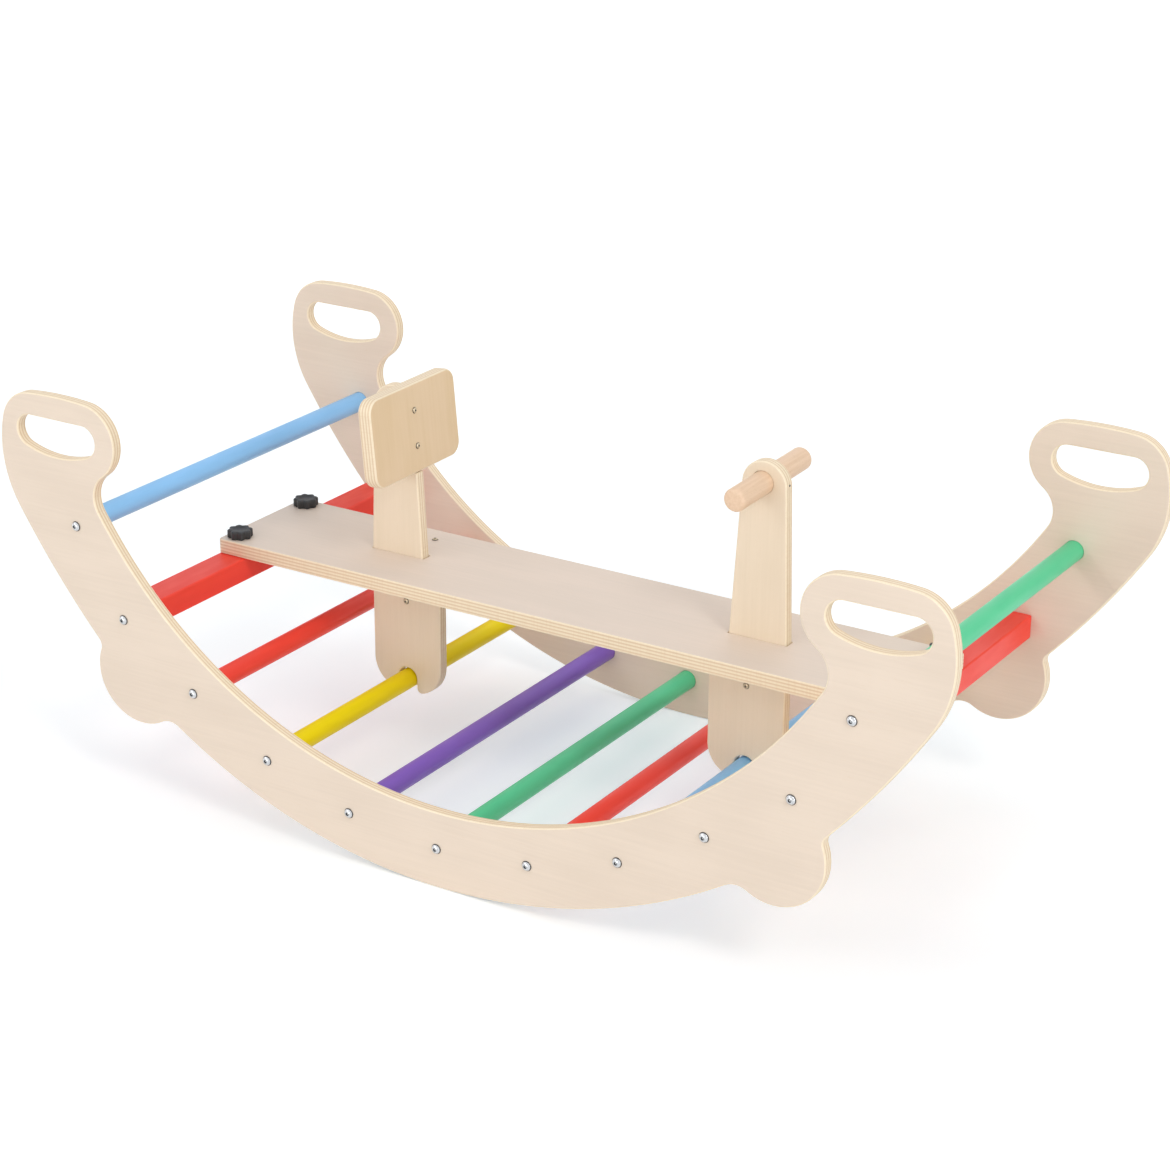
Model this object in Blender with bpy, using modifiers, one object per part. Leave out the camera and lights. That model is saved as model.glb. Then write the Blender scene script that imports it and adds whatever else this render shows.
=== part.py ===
"""A climbing arch: two plywood rockers joined by painted rungs, with a lift-out seat between them.

Metres, +Z up. X runs along the arch from the backrest to the handlebar, Y runs across it, and the origin
lies on the floor under the middle of the arch.
"""

import math

import bmesh
import bpy
from mathutils import Matrix, Vector

# Fits: touching faces stay this far apart, and screws and studs pass their holes with this much round them
TOUCH_GAP = 0.0003
HOLE_CLEARANCE = 0.0003
TIP_ROOM = 0.001
CUT_OVERSHOOT = 0.001

# How finely curves are divided: the greatest height of an arc over its chord, and the greatest turn
ARC_SAGITTA = 0.0002
ARC_STEP_ANGLE = math.radians(15)

# How meshes are finished: points closer than this are one, and edges that turn more than these angles
# stay sharp in shading or are eased
WELD_DISTANCE = 0.000001
SHARP_ANGLE = math.radians(30)
EASED_ANGLE = math.radians(50)
EMPTY_SIZE = 0.03

# Side panels
ARCH_LENGTH = 1.000
ARCH_HEIGHT = 0.3936
CLEAR_WIDTH = 0.4427
PANEL_THICKNESS = 0.012
RUNNER_RADIUS = 0.557
WEB_DEPTH = 0.0763
NECK_FILLET = 0.0275
NECK_ANGLE = math.radians(-54.7)
HEAD_CORNER_RADIUS = 0.0378
HEAD_CORNER_SPACING = 0.0624
HEAD_CROWN_RADIUS = 0.391
SHOULDER_RADIUS = 0.1117
SHOULDER_ANGLE = math.radians(164.6)
FLANK_RADIUS = 0.8274
HEEL_FILLET = 0.0095
HEEL_ANGLE = math.radians(159.7)
FOOT_RADIUS = 0.0496
FOOT_FROM_END = 0.1565
FOOT_PROUD = 0.0408
TOE_FILLET = 0.0204

# Hand slots in the panel heads
SLOT_FROM_END = 0.0696
SLOT_LENGTH = 0.0943
SLOT_END_RADIUS = 0.0154
SLOT_BOW_RADIUS = 0.1074
GRIP_DEPTH = 0.0238

# Rungs and beams, stepped evenly along the inner edge from the middle rung to the end rungs under the necks
MIDDLE_RUNG_INSET = 0.0368
END_RUNG_INSET = 0.0337
RUNG_RADIUS = 0.010
RUNG_SIDES = 24
SOCKET_DEPTH = 0.007
BEAM_OUTSET = 0.010
BEAM_WIDTH = 0.032
BEAM_HEIGHT = 0.024
BEAM_EASING = 0.002

# Seat board
BOARD_WIDTH = 0.138
BOARD_THICKNESS = 0.015
BOARD_CORNER = 0.004

# Posts, each with a leg below the board that straddles a rung
POST_THICKNESS = 0.012
LEG_WIDTH = 0.0804
LEG_BELOW_RUNG = 0.0142
LEG_END_RADIUS = 0.0315
NOTCH_CLEARANCE = 0.0008
NOTCH_RISE = 0.001
NOTCH_LIP = 0.005
POST_ROOT_WIDTH = 0.0615
POST_TOP_RADIUS = 0.023
POST_TOP_OUT = 0.0117
POST_TOP_UP = 0.1497

# Backrest
BACKREST_WIDTH = 0.140
BACKREST_HEIGHT = 0.088
BACKREST_THICKNESS = 0.015
BACKREST_CORNER = 0.014
BACKREST_LEAN_ANGLE = math.radians(5.4)
LEDGE_BELOW_TOP = 0.062
BACKREST_SCREW_SPACING = 0.0355

# Handlebar
BAR_RADIUS = 0.011
BAR_LENGTH = 0.128
BAR_END_ROUND = 0.003
BAR_ROUND_STEPS = 3
BAR_PIN_RADIUS = 0.0012
BAR_INSIDE_TOP = 0.0015
BAR_ABOVE_TOP = 0.0025

# Cleats that tie the legs to the board, on the far side of each leg
CLEAT_WIDTH = 0.030
CLEAT_REACH = 0.054
CLEAT_HEIGHT = 0.044
CLEAT_EASING = 0.0015
LEG_SCREW_DOWN = 0.0336
BOARD_SCREW_FROM_CLEAT_END = 0.0153

# Round-headed screws
SCREW_HEAD_RADIUS = 0.005
SCREW_HEAD_HEIGHT = 0.003
SCREW_SHANK_RADIUS = 0.00225
SCREW_LENGTH = 0.035
SCREW_POINT = 0.004
SCREW_SIDES = 10
SCREW_DOME_STEPS = 3
RECESS_RADIUS = 0.0018
RECESS_DEPTH = 0.0015
RECESS_SIDES = 6

# Star knobs, their studs and the threaded inserts that take them
KNOB_FROM_EDGE = 0.015
KNOB_RADIUS = 0.0127
KNOB_SCALLOP = 0.0011
KNOB_LOBES = 8
KNOB_POINTS_PER_LOBE = 6
KNOB_HEIGHT = 0.0084
KNOB_EASING = 0.0014
STUD_RADIUS = 0.003
STUD_IN_KNOB = 0.0050
STUD_PAST_INSERT = 0.001
STUD_CHAMFER = 0.001
STUD_SIDES = 16
INSERT_LENGTH = 0.012
INSERT_WALL = 0.0014

# Finishes: sRGB colour, roughness, metallic
FINISHES = {
    "plywood": ("EBD8C3", 0.45, 0.0),
    "beech": ("E0C29E", 0.50, 0.0),
    "paint_blue": ("85BEEC", 0.35, 0.0),
    "paint_red": ("EE3432", 0.35, 0.0),
    "paint_yellow": ("FAD60F", 0.35, 0.0),
    "paint_purple": ("7D58AF", 0.35, 0.0),
    "paint_green": ("4BBE82", 0.35, 0.0),
    "black_plastic": ("333335", 0.45, 0.0),
    "zinc_steel": ("B9BBBE", 0.30, 1.0),
    "brass": ("C9A35B", 0.35, 1.0),
}
RUNG_FINISHES = {
    -5: "paint_blue",
    -3: "paint_red",
    -2: "paint_yellow",
    -1: "paint_purple",
    0: "paint_green",
    1: "paint_red",
    2: "paint_blue",
    3: "paint_yellow",
    5: "paint_green",
}
BEAM_STEPS = {"rear": -4, "front": 4}
POST_STEP_COUNT = 2
END_STEP_COUNT = 5


def point_at(centre, radius, angle):
    """Return the point of a circle at an angle."""
    return Vector((centre[0] + radius * math.cos(angle), centre[1] + radius * math.sin(angle)))


def head_corners():
    """Return the centres of the left head's outer and inner corner arcs."""
    crown_reach = HEAD_CROWN_RADIUS - HEAD_CORNER_RADIUS
    up = ARCH_HEIGHT - HEAD_CROWN_RADIUS + math.sqrt(crown_reach**2 - (HEAD_CORNER_SPACING / 2) ** 2)
    shoulder_reach = SHOULDER_RADIUS - HEAD_CORNER_RADIUS
    outer_x = SHOULDER_RADIUS - ARCH_LENGTH / 2 + shoulder_reach * math.cos(SHOULDER_ANGLE)
    return Vector((outer_x, up)), Vector((outer_x + HEAD_CORNER_SPACING, up))


def inner_edge_radius(neck_centre):
    """Return the radius of the inner edge, which meets the web's middle and runs smoothly into the neck."""
    rise = neck_centre.y - WEB_DEPTH
    return (neck_centre.x**2 + rise**2 - NECK_FILLET**2) / (2 * (rise - NECK_FILLET))


# Places worked out from the sizes above
PANEL_INNER_FACE = CLEAR_WIDTH / 2
PANEL_OUTER_FACE = PANEL_INNER_FACE + PANEL_THICKNESS
OUTER_CORNER, INNER_CORNER = head_corners()
NECK_CENTRE = point_at(INNER_CORNER, HEAD_CORNER_RADIUS + NECK_FILLET, NECK_ANGLE)
INNER_EDGE_RADIUS = inner_edge_radius(NECK_CENTRE)
INNER_EDGE_CENTRE = Vector((0, WEB_DEPTH + INNER_EDGE_RADIUS))
NECK_SWING = math.atan2(-NECK_CENTRE.x, INNER_EDGE_CENTRE.y - NECK_CENTRE.y)


def member_place(step, outset=0.0):
    """Return X and Z of a rung or beam, counted in steps from the middle rung."""
    share = step / END_STEP_COUNT
    inset = MIDDLE_RUNG_INSET + (END_RUNG_INSET - MIDDLE_RUNG_INSET) * share**2
    return point_at(INNER_EDGE_CENTRE, INNER_EDGE_RADIUS + inset + outset, share * NECK_SWING - math.pi / 2)


BEAM_PLACE = member_place(BEAM_STEPS["front"], BEAM_OUTSET)
BEAM_TOP = BEAM_PLACE.y + BEAM_HEIGHT / 2
BOARD_UNDERSIDE = BEAM_TOP + TOUCH_GAP
BOARD_LENGTH = 2 * BEAM_PLACE.x + BEAM_WIDTH
LEG_PLACE = member_place(POST_STEP_COUNT)
LEG_HALF = LEG_WIDTH / 2
HOLE_RADIUS = SCREW_SHANK_RADIUS + HOLE_CLEARANCE
KNOB_SPACING = BOARD_WIDTH - 2 * KNOB_FROM_EDGE
CLEAT_NEAR_FACE = POST_THICKNESS / 2 + TOUCH_GAP
BOARD_SCREW_ACROSS = CLEAT_NEAR_FACE + CLEAT_REACH - BOARD_SCREW_FROM_CLEAT_END


# Scene, materials and objects


def clear_scene():
    """Remove every object that the file opened with."""
    for old in list(bpy.data.objects):
        bpy.data.objects.remove(old, do_unlink=True)


def new_collection(name):
    """Add a collection to the scene and return it."""
    group = bpy.data.collections.new(name)
    bpy.context.scene.collection.children.link(group)
    return group


def linear(hex_colour):
    """Turn an sRGB hex colour into linear red, green, blue and alpha."""
    channels = [int(hex_colour[i : i + 2], 16) / 255 for i in (0, 2, 4)]
    return [c / 12.92 if c <= 0.04045 else ((c + 0.055) / 1.055) ** 2.4 for c in channels] + [1.0]


def make_materials():
    """Make one Principled material for each finish."""
    materials = {}
    for name, (colour, roughness, metallic) in FINISHES.items():
        material = bpy.data.materials.new(name)
        material.use_nodes = True
        shader = material.node_tree.nodes["Principled BSDF"]
        shader.inputs["Base Color"].default_value = linear(colour)
        shader.inputs["Roughness"].default_value = roughness
        shader.inputs["Metallic"].default_value = metallic
        materials[name] = material
    return materials


def evaluated_mesh(source):
    """Return a mesh of the object as its modifiers and curve settings leave it."""
    bpy.context.view_layer.update()
    return bpy.data.meshes.new_from_object(source.evaluated_get(bpy.context.evaluated_depsgraph_get()))


def shade_round(mesh):
    """Shade smoothly across the facets of arcs, and keep real edges sharp."""
    mesh.shade_smooth()
    mesh.set_sharp_from_angle(angle=SHARP_ANGLE)


class Workshop:
    """Keeps the collections and materials, and turns meshes into finished or cutting pieces."""

    def __init__(self):
        self.parts = new_collection("climbing_arch")
        self.cutters = new_collection("cutters")
        self.materials = make_materials()

    def empty(self, name, location, parent=None):
        """Add an empty that carries a group of pieces."""
        holder = bpy.data.objects.new(name, None)
        holder.empty_display_size = EMPTY_SIZE
        holder.location = location
        holder.parent = parent
        self.parts.objects.link(holder)
        return holder

    def piece(self, name, mesh, finish, location, rotation=(0, 0, 0), parent=None):
        """Add one named sub-part of the arch with its material."""
        if not mesh.materials:
            mesh.materials.append(None)
        part = bpy.data.objects.new(name, mesh)
        part.location = location
        part.rotation_euler = rotation
        part.parent = parent
        self.parts.objects.link(part)
        part.material_slots[0].link = "OBJECT"
        part.material_slots[0].material = self.materials[finish]
        return part

    def cutter(self, name, mesh, location=(0, 0, 0), rotation=(0, 0, 0), parent=None):
        """Add a guide that only cuts other pieces."""
        guide = bpy.data.objects.new(name, mesh)
        guide.location = location
        guide.rotation_euler = rotation
        guide.parent = parent
        guide.hide_render = True
        guide.display_type = "WIRE"
        self.cutters.objects.link(guide)
        return guide

    def cut_mesh(self, mesh, *tools):
        """Return the mesh with each tool mesh cut out of it, leaving no helper behind."""
        blank = bpy.data.objects.new("blank", mesh)
        self.cutters.objects.link(blank)
        guides = [self.cutter("tool", tool) for tool in tools]
        for guide in guides:
            subtract(blank, guide)
        finished = evaluated_mesh(blank)
        for helper in [blank, *guides]:
            bpy.data.objects.remove(helper, do_unlink=True)
        close_slivers(finished)
        shade_round(finished)
        return finished

    def modified_mesh(self, mesh, add_modifiers):
        """Return the mesh as the modifiers that add_modifiers gives it leave it."""
        blank = bpy.data.objects.new("blank", mesh)
        self.cutters.objects.link(blank)
        add_modifiers(blank)
        finished = evaluated_mesh(blank)
        bpy.data.objects.remove(blank, do_unlink=True)
        shade_round(finished)
        return finished


def close_slivers(mesh):
    """Put back the hair-thin triangles that a cut loses where its rim runs close beside a facet's edge."""
    solid = bmesh.new()
    solid.from_mesh(mesh)
    open_edges = [edge for edge in solid.edges if edge.is_boundary]
    bmesh.ops.holes_fill(solid, edges=open_edges, sides=3)
    bmesh.ops.recalc_face_normals(solid, faces=solid.faces)
    solid.to_mesh(mesh)
    solid.free()


def subtract(target, guide):
    """Cut a guide out of a piece."""
    boolean = target.modifiers.new(guide.name, "BOOLEAN")
    boolean.operation = "DIFFERENCE"
    boolean.solver = "EXACT"
    boolean.object = guide


def ease(target, width, segments=1):
    """Round the sharp edges of a piece and leave the facets of its arcs alone."""
    bevel = target.modifiers.new("Eased edges", "BEVEL")
    bevel.width = width
    bevel.segments = segments
    bevel.limit_method = "ANGLE"
    bevel.angle_limit = EASED_ANGLE


# Flat outlines from lines and arcs


def arc_step(radius):
    """Return the angle between neighbouring points of an arc."""
    return min(ARC_STEP_ANGLE, 2 * math.acos(1 - ARC_SAGITTA / radius))


def arc(centre, radius, start, end, turn=1):
    """Return points of an arc, both ends included; turn is 1 for anticlockwise and -1 for clockwise."""
    sweep = ((end - start) * turn) % math.tau
    count = max(1, math.ceil(sweep / arc_step(radius)))
    return [point_at(centre, radius, start + turn * sweep * k / count) for k in range(count + 1)]


def circle(centre, radius, sides):
    """Return the corners of a regular polygon that stands for a circle."""
    return [point_at(centre, radius, math.tau * (k + 0.5) / sides) for k in range(sides)]


def rounded_rectangle(width, height, corner):
    """Return a rectangle with round corners, centred on the origin."""
    points = []
    for quarter, (sx, sy) in enumerate(((1, 1), (-1, 1), (-1, -1), (1, -1))):
        centre = (sx * (width / 2 - corner), sy * (height / 2 - corner))
        start = quarter * math.pi / 2
        points += arc(centre, corner, start, start + math.pi / 2)
    return points


def rectangle(left, right, bottom, top):
    """Return the four corners of a rectangle."""
    return [Vector(p) for p in ((left, bottom), (right, bottom), (right, top), (left, top))]


def meeting_centre(first, second, first_distance, second_distance, side):
    """Return the centre that lies at two given distances from two other centres."""
    span = Vector(second) - Vector(first)
    length = span.length
    along = (first_distance**2 - second_distance**2 + length**2) / (2 * length)
    aside = math.sqrt(first_distance**2 - along**2)
    unit = span / length
    return Vector(first) + along * unit + side * aside * Vector((-unit.y, unit.x))


def tangent_point(outside, centre, radius, side):
    """Return where a line from an outside point touches a circle, on its left (1) or right (-1) side."""
    span = Vector(centre) - Vector(outside)
    direction = math.atan2(span.y, span.x) + side * math.asin(radius / span.length)
    return point_at(outside, math.sqrt(span.length**2 - radius**2), direction)


def angle_from(centre, point):
    """Return the direction from a centre to a point."""
    return math.atan2(point[1] - centre[1], point[0] - centre[0])


def touching_point(first, second):
    """Return where two neighbouring arcs of a smooth chain meet; each is a centre, a radius and a turn."""
    (centre, radius, turn), (next_centre, next_radius, next_turn) = first, second
    toward = 1 if turn != next_turn or radius > next_radius else -1
    return Vector(centre) + toward * radius * (Vector(next_centre) - Vector(centre)).normalized()


# Solids


def flat_solid(name, loops, thickness):
    """Return a mesh of a plank cut to an outline with holes, lying in XY and centred on its thickness."""
    curve = bpy.data.curves.new(name, "CURVE")
    curve.dimensions = "2D"
    curve.fill_mode = "BOTH"
    curve.extrude = thickness / 2
    for loop in loops:
        spline = curve.splines.new("POLY")
        spline.points.add(len(loop) - 1)
        for knot, point in zip(spline.points, loop):
            knot.co = (point[0], point[1], 0, 1)
        spline.use_cyclic_u = True
    drawing = bpy.data.objects.new(name, curve)
    bpy.context.scene.collection.objects.link(drawing)
    mesh = evaluated_mesh(drawing)
    bpy.data.objects.remove(drawing, do_unlink=True)
    solid = bmesh.new()
    solid.from_mesh(mesh)
    bmesh.ops.remove_doubles(solid, verts=solid.verts, dist=WELD_DISTANCE)
    bmesh.ops.recalc_face_normals(solid, faces=solid.faces)
    solid.to_mesh(mesh)
    solid.free()
    shade_round(mesh)
    return mesh


def upright(mesh):
    """Stand a plank that was drawn in XY up in XZ, so that its drawing's Y becomes Z."""
    mesh.transform(Matrix.Rotation(math.pi / 2, 4, "X"))
    return mesh


def box_solid(name, size):
    """Return a box mesh centred on the origin."""
    solid = bmesh.new()
    bmesh.ops.create_cube(solid, size=1.0, matrix=Matrix.Diagonal((*size, 1.0)))
    mesh = bpy.data.meshes.new(name)
    solid.to_mesh(mesh)
    solid.free()
    return mesh


def rods(name, ends, radius, sides=RUNG_SIDES):
    """Return one mesh of straight rods, each given by its two ends."""
    solid = bmesh.new()
    for start, end in ends:
        run = Vector(end) - Vector(start)
        turn = run.to_track_quat("Z", "Y").to_matrix().to_4x4()
        place = Matrix.Translation((Vector(start) + Vector(end)) / 2) @ turn
        bmesh.ops.create_cone(
            solid,
            cap_ends=True,
            segments=sides,
            radius1=radius,
            radius2=radius,
            depth=run.length,
            matrix=place,
        )
    mesh = bpy.data.meshes.new(name)
    solid.to_mesh(mesh)
    solid.free()
    shade_round(mesh)
    return mesh


def turned_solid(shop, name, profile, sides, closed=False):
    """Return a mesh turned about Z from a profile of radius and height that runs down its outer side."""
    wire = bmesh.new()
    knots = [wire.verts.new((radius, 0, height)) for radius, height in profile]
    for first, second in zip(knots, knots[1:] + knots[:1] if closed else knots[1:]):
        wire.edges.new((first, second))
    mesh = bpy.data.meshes.new(name)
    wire.to_mesh(mesh)
    wire.free()

    def turn(blank):
        screw = blank.modifiers.new("Turned", "SCREW")
        screw.axis = "Z"
        screw.steps = sides
        screw.render_steps = sides
        screw.use_merge_vertices = True
        screw.merge_threshold = WELD_DISTANCE

    return shop.modified_mesh(mesh, turn)


def bore_depth(passed):
    """Return how deep a screw's bore goes in the last piece, past what its shank goes through first."""
    return SCREW_LENGTH - passed + TIP_ROOM


# Side panels: a chain of arcs, each tangent to the next


def half_panel_chain():
    """Return the arcs of the left half of a panel from the inner edge's middle to the runner's middle."""
    inner = (INNER_EDGE_CENTRE, INNER_EDGE_RADIUS, -1)
    outer_corner = (OUTER_CORNER, HEAD_CORNER_RADIUS, 1)
    inner_corner = (INNER_CORNER, HEAD_CORNER_RADIUS, 1)
    crown_reach = HEAD_CROWN_RADIUS - HEAD_CORNER_RADIUS
    crown = (meeting_centre(INNER_CORNER, OUTER_CORNER, crown_reach, crown_reach, 1), HEAD_CROWN_RADIUS, 1)
    shoulder_centre = point_at(OUTER_CORNER, HEAD_CORNER_RADIUS - SHOULDER_RADIUS, SHOULDER_ANGLE)
    shoulder = (shoulder_centre, SHOULDER_RADIUS, 1)

    runner = (Vector((0, RUNNER_RADIUS)), RUNNER_RADIUS, 1)
    foot_x = FOOT_FROM_END - ARCH_LENGTH / 2
    foot_reach = RUNNER_RADIUS + FOOT_PROUD - FOOT_RADIUS
    foot = (Vector((foot_x, RUNNER_RADIUS - math.sqrt(foot_reach**2 - foot_x**2))), FOOT_RADIUS, 1)
    heel_centre = point_at(foot[0], FOOT_RADIUS + HEEL_FILLET, HEEL_ANGLE)
    flank_centre = meeting_centre(
        shoulder_centre, heel_centre, FLANK_RADIUS - SHOULDER_RADIUS, FLANK_RADIUS + HEEL_FILLET, 1
    )
    flank = (flank_centre, FLANK_RADIUS, 1)
    toe_centre = meeting_centre(foot[0], runner[0], FOOT_RADIUS + TOE_FILLET, RUNNER_RADIUS + TOE_FILLET, -1)
    neck = (NECK_CENTRE, NECK_FILLET, -1)
    heel = (heel_centre, HEEL_FILLET, -1)
    toe = (toe_centre, TOE_FILLET, -1)
    return [inner, neck, inner_corner, crown, outer_corner, shoulder, flank, heel, foot, toe, runner]


def panel_outline():
    """Return the whole outline of a panel, with a level facet under the middle of the runner."""
    chain = half_panel_chain()
    joins = [touching_point(first, second) for first, second in zip(chain, chain[1:])]
    points = []

    (centre, radius, _), end = chain[0], joins[0]
    half = abs(angle_from(centre, end) + math.pi / 2) % math.tau
    half = min(half, math.tau - half)
    count = math.ceil(half / arc_step(radius))
    step = half / (count + 0.5)
    points += [point_at(centre, radius, -math.pi / 2 - (k + 0.5) * step) for k in range(count)]

    for (centre, radius, turn), start, end in zip(chain[1:-1], joins, joins[1:]):
        points += arc(centre, radius, angle_from(centre, start), angle_from(centre, end), turn)[:-1]

    (centre, radius, _), start = chain[-1], joins[-1]
    half = abs(angle_from(centre, start) + math.pi / 2)
    count = math.ceil(half / arc_step(radius))
    step = half / (count + 0.5)
    facet_radius = radius / math.cos(step / 2)
    points.append(start)
    turns = [-math.pi / 2 - (k + 0.5) * step for k in reversed(range(count))]
    points += [point_at(centre, facet_radius, turn) for turn in turns]

    return points + [Vector((-p.x, p.y)) for p in reversed(points)]


def hand_slot(side):
    """Return the outline of one hand slot: a flat grip above, round ends and a bowed floor."""
    middle = side * (ARCH_LENGTH / 2 - SLOT_FROM_END)
    end_out = SLOT_LENGTH / 2 - SLOT_END_RADIUS
    end_up = ARCH_HEIGHT - GRIP_DEPTH - SLOT_END_RADIUS
    bow_up = end_up + math.sqrt((SLOT_BOW_RADIUS - SLOT_END_RADIUS) ** 2 - end_out**2)
    left = Vector((middle - end_out, end_up))
    right = Vector((middle + end_out, end_up))
    bow = Vector((middle, bow_up))
    bow_left = angle_from(bow, left)
    bow_right = angle_from(bow, right)
    return (
        arc(left, SLOT_END_RADIUS, math.pi / 2, bow_left)
        + arc(bow, SLOT_BOW_RADIUS, bow_left, bow_right)[1:-1]
        + arc(right, SLOT_END_RADIUS, bow_right, math.pi / 2)
    )


def all_members():
    """Return X and Z of every rung and beam end, rungs first."""
    rung_places = [member_place(step) for step in RUNG_FINISHES]
    beam_places = [member_place(step, BEAM_OUTSET) for step in BEAM_STEPS.values()]
    return rung_places, beam_places


def build_panels(shop):
    """Make both side panels: the same blank, sockets inward, turned round for the far side."""
    blank = upright(flat_solid("side_panel", [panel_outline(), hand_slot(-1), hand_slot(1)], PANEL_THICKNESS))
    rung_places, beam_places = all_members()
    face = PANEL_THICKNESS / 2
    floor = face - SOCKET_DEPTH
    sockets = [((x, floor, z), (x, face + CUT_OVERSHOOT, z)) for x, z in rung_places]
    through = face + CUT_OVERSHOOT
    screw_ways = [((x, -through, z), (x, through, z)) for x, z in rung_places + beam_places]
    mesh = shop.cut_mesh(
        blank,
        rods("sockets", sockets, RUNG_RADIUS + HOLE_CLEARANCE),
        rods("screw_ways", screw_ways, HOLE_RADIUS, SCREW_SIDES),
    )
    middle = PANEL_INNER_FACE + face
    shop.piece("side_panel_near", mesh, "plywood", (0, -middle, 0))
    shop.piece("side_panel_far", mesh, "plywood", (0, middle, 0), rotation=(0, 0, math.pi))


# Rungs and beams


def end_bores(half_length, depth):
    """Return the runs of the two screw bores in the ends of a cross piece."""
    return [
        ((0, side * (half_length - depth), 0), (0, side * (half_length + CUT_OVERSHOOT), 0))
        for side in (-1, 1)
    ]


def build_rungs(shop):
    """Make the painted rungs, let into sockets in both panels."""
    half = PANEL_INNER_FACE + SOCKET_DEPTH - TOUCH_GAP
    dowel = rods("rung", [((0, -half, 0), (0, half, 0))], RUNG_RADIUS)
    depth = bore_depth(PANEL_THICKNESS - SOCKET_DEPTH + 2 * TOUCH_GAP)
    mesh = shop.cut_mesh(dowel, rods("bores", end_bores(half, depth), HOLE_RADIUS, SCREW_SIDES))
    for number, (step, finish) in enumerate(RUNG_FINISHES.items(), start=1):
        x, z = member_place(step)
        shop.piece(f"rung_{number}", mesh, finish, (x, 0, z))


def insert_pocket_radius():
    """Return the radius of the hole that holds a threaded insert."""
    return STUD_RADIUS + 2 * HOLE_CLEARANCE + INSERT_WALL


def build_beams(shop):
    """Make the two square beams that carry the board, with pockets for the knobs' inserts."""
    half = PANEL_INNER_FACE - TOUCH_GAP
    billet = shop.modified_mesh(
        box_solid("beam", (BEAM_WIDTH, 2 * half, BEAM_HEIGHT)), lambda blank: ease(blank, BEAM_EASING)
    )
    depth = bore_depth(PANEL_THICKNESS + 2 * TOUCH_GAP)
    pocket_floor = BEAM_HEIGHT / 2 - INSERT_LENGTH - STUD_PAST_INSERT - TIP_ROOM
    pocket_top = BEAM_HEIGHT / 2 + CUT_OVERSHOOT
    pockets = [
        ((0, side * KNOB_SPACING / 2, pocket_floor), (0, side * KNOB_SPACING / 2, pocket_top))
        for side in (-1, 1)
    ]
    mesh = shop.cut_mesh(
        billet,
        rods("bores", end_bores(half, depth), HOLE_RADIUS, SCREW_SIDES),
        rods("pockets", pockets, insert_pocket_radius(), STUD_SIDES),
    )
    for name, step in BEAM_STEPS.items():
        x, z = member_place(step, BEAM_OUTSET)
        shop.piece(f"beam_{name}", mesh, "paint_red", (x, 0, z))


# Screws


def screw_mesh(shop):
    """Return a round-headed screw along Z, with the underside of its head at zero."""
    dome_radius = (SCREW_HEAD_RADIUS**2 + SCREW_HEAD_HEIGHT**2) / (2 * SCREW_HEAD_HEIGHT)
    dome_centre = (0, SCREW_HEAD_HEIGHT - dome_radius)
    rim = angle_from(dome_centre, (SCREW_HEAD_RADIUS, 0))
    dome_step = (math.pi / 2 - rim) / SCREW_DOME_STEPS
    dome = [point_at(dome_centre, dome_radius, rim + dome_step * k) for k in range(1, SCREW_DOME_STEPS)]
    profile = [
        (0, SCREW_HEAD_HEIGHT),
        *reversed(dome),
        (SCREW_HEAD_RADIUS, 0),
        (SCREW_SHANK_RADIUS, 0),
        (SCREW_SHANK_RADIUS, SCREW_POINT - SCREW_LENGTH),
        (0, -SCREW_LENGTH),
    ]
    body = turned_solid(shop, "screw", profile, SCREW_SIDES)
    recess_floor = (0, 0, SCREW_HEAD_HEIGHT - RECESS_DEPTH)
    recess_top = (0, 0, SCREW_HEAD_HEIGHT + CUT_OVERSHOOT)
    return shop.cut_mesh(body, rods("recess", [(recess_floor, recess_top)], RECESS_RADIUS, RECESS_SIDES))


def drive_screw(shop, name, mesh, seat, out, parent=None):
    """Drive a screw into a face; seat is the point on the face and out is the way its head points."""
    out = Vector(out).normalized()
    rotation = out.to_track_quat("Z", "Y").to_euler()
    return shop.piece(name, mesh, "zinc_steel", Vector(seat) + TOUCH_GAP * out, rotation, parent)


def build_panel_screws(shop, mesh):
    """Drive one screw through each panel into the end of each rung and beam."""
    rung_steps = [(step, 0.0) for step in RUNG_FINISHES]
    beam_steps = [(step, BEAM_OUTSET) for step in BEAM_STEPS.values()]
    for side_name, side in (("near", -1), ("far", 1)):
        for number, (step, outset) in enumerate(sorted(rung_steps + beam_steps), start=1):
            x, z = member_place(step, outset)
            seat = (x, side * PANEL_OUTER_FACE, z)
            drive_screw(shop, f"panel_screw_{side_name}_{number}", mesh, seat, (0, side, 0))


# Seat: board, posts, backrest and handlebar, all carried by one empty under the board's middle


def build_board(shop, seat):
    """Make the seat board with slots for the posts and holes for the studs and screws."""
    loops = [rounded_rectangle(BOARD_LENGTH, BOARD_WIDTH, BOARD_CORNER)]
    slot_half = POST_THICKNESS / 2 + HOLE_CLEARANCE
    slot_out = LEG_PLACE.x + LEG_HALF + HOLE_CLEARANCE
    slot_in = LEG_PLACE.x + LEG_HALF - POST_ROOT_WIDTH - HOLE_CLEARANCE
    for end in (-1, 1):
        low, high = sorted((end * slot_in, end * slot_out))
        loops.append(rectangle(low, high, -slot_half, slot_half))
        loops.append(circle((end * LEG_PLACE.x, BOARD_SCREW_ACROSS), HOLE_RADIUS, SCREW_SIDES))
        for side in (-1, 1):
            place = (end * BEAM_PLACE.x, side * KNOB_SPACING / 2)
            loops.append(circle(place, STUD_RADIUS + HOLE_CLEARANCE, STUD_SIDES))
    mesh = flat_solid("seat_board", loops, BOARD_THICKNESS)
    shop.piece("seat_board", mesh, "plywood", (0, 0, BOARD_THICKNESS / 2), parent=seat)


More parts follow.
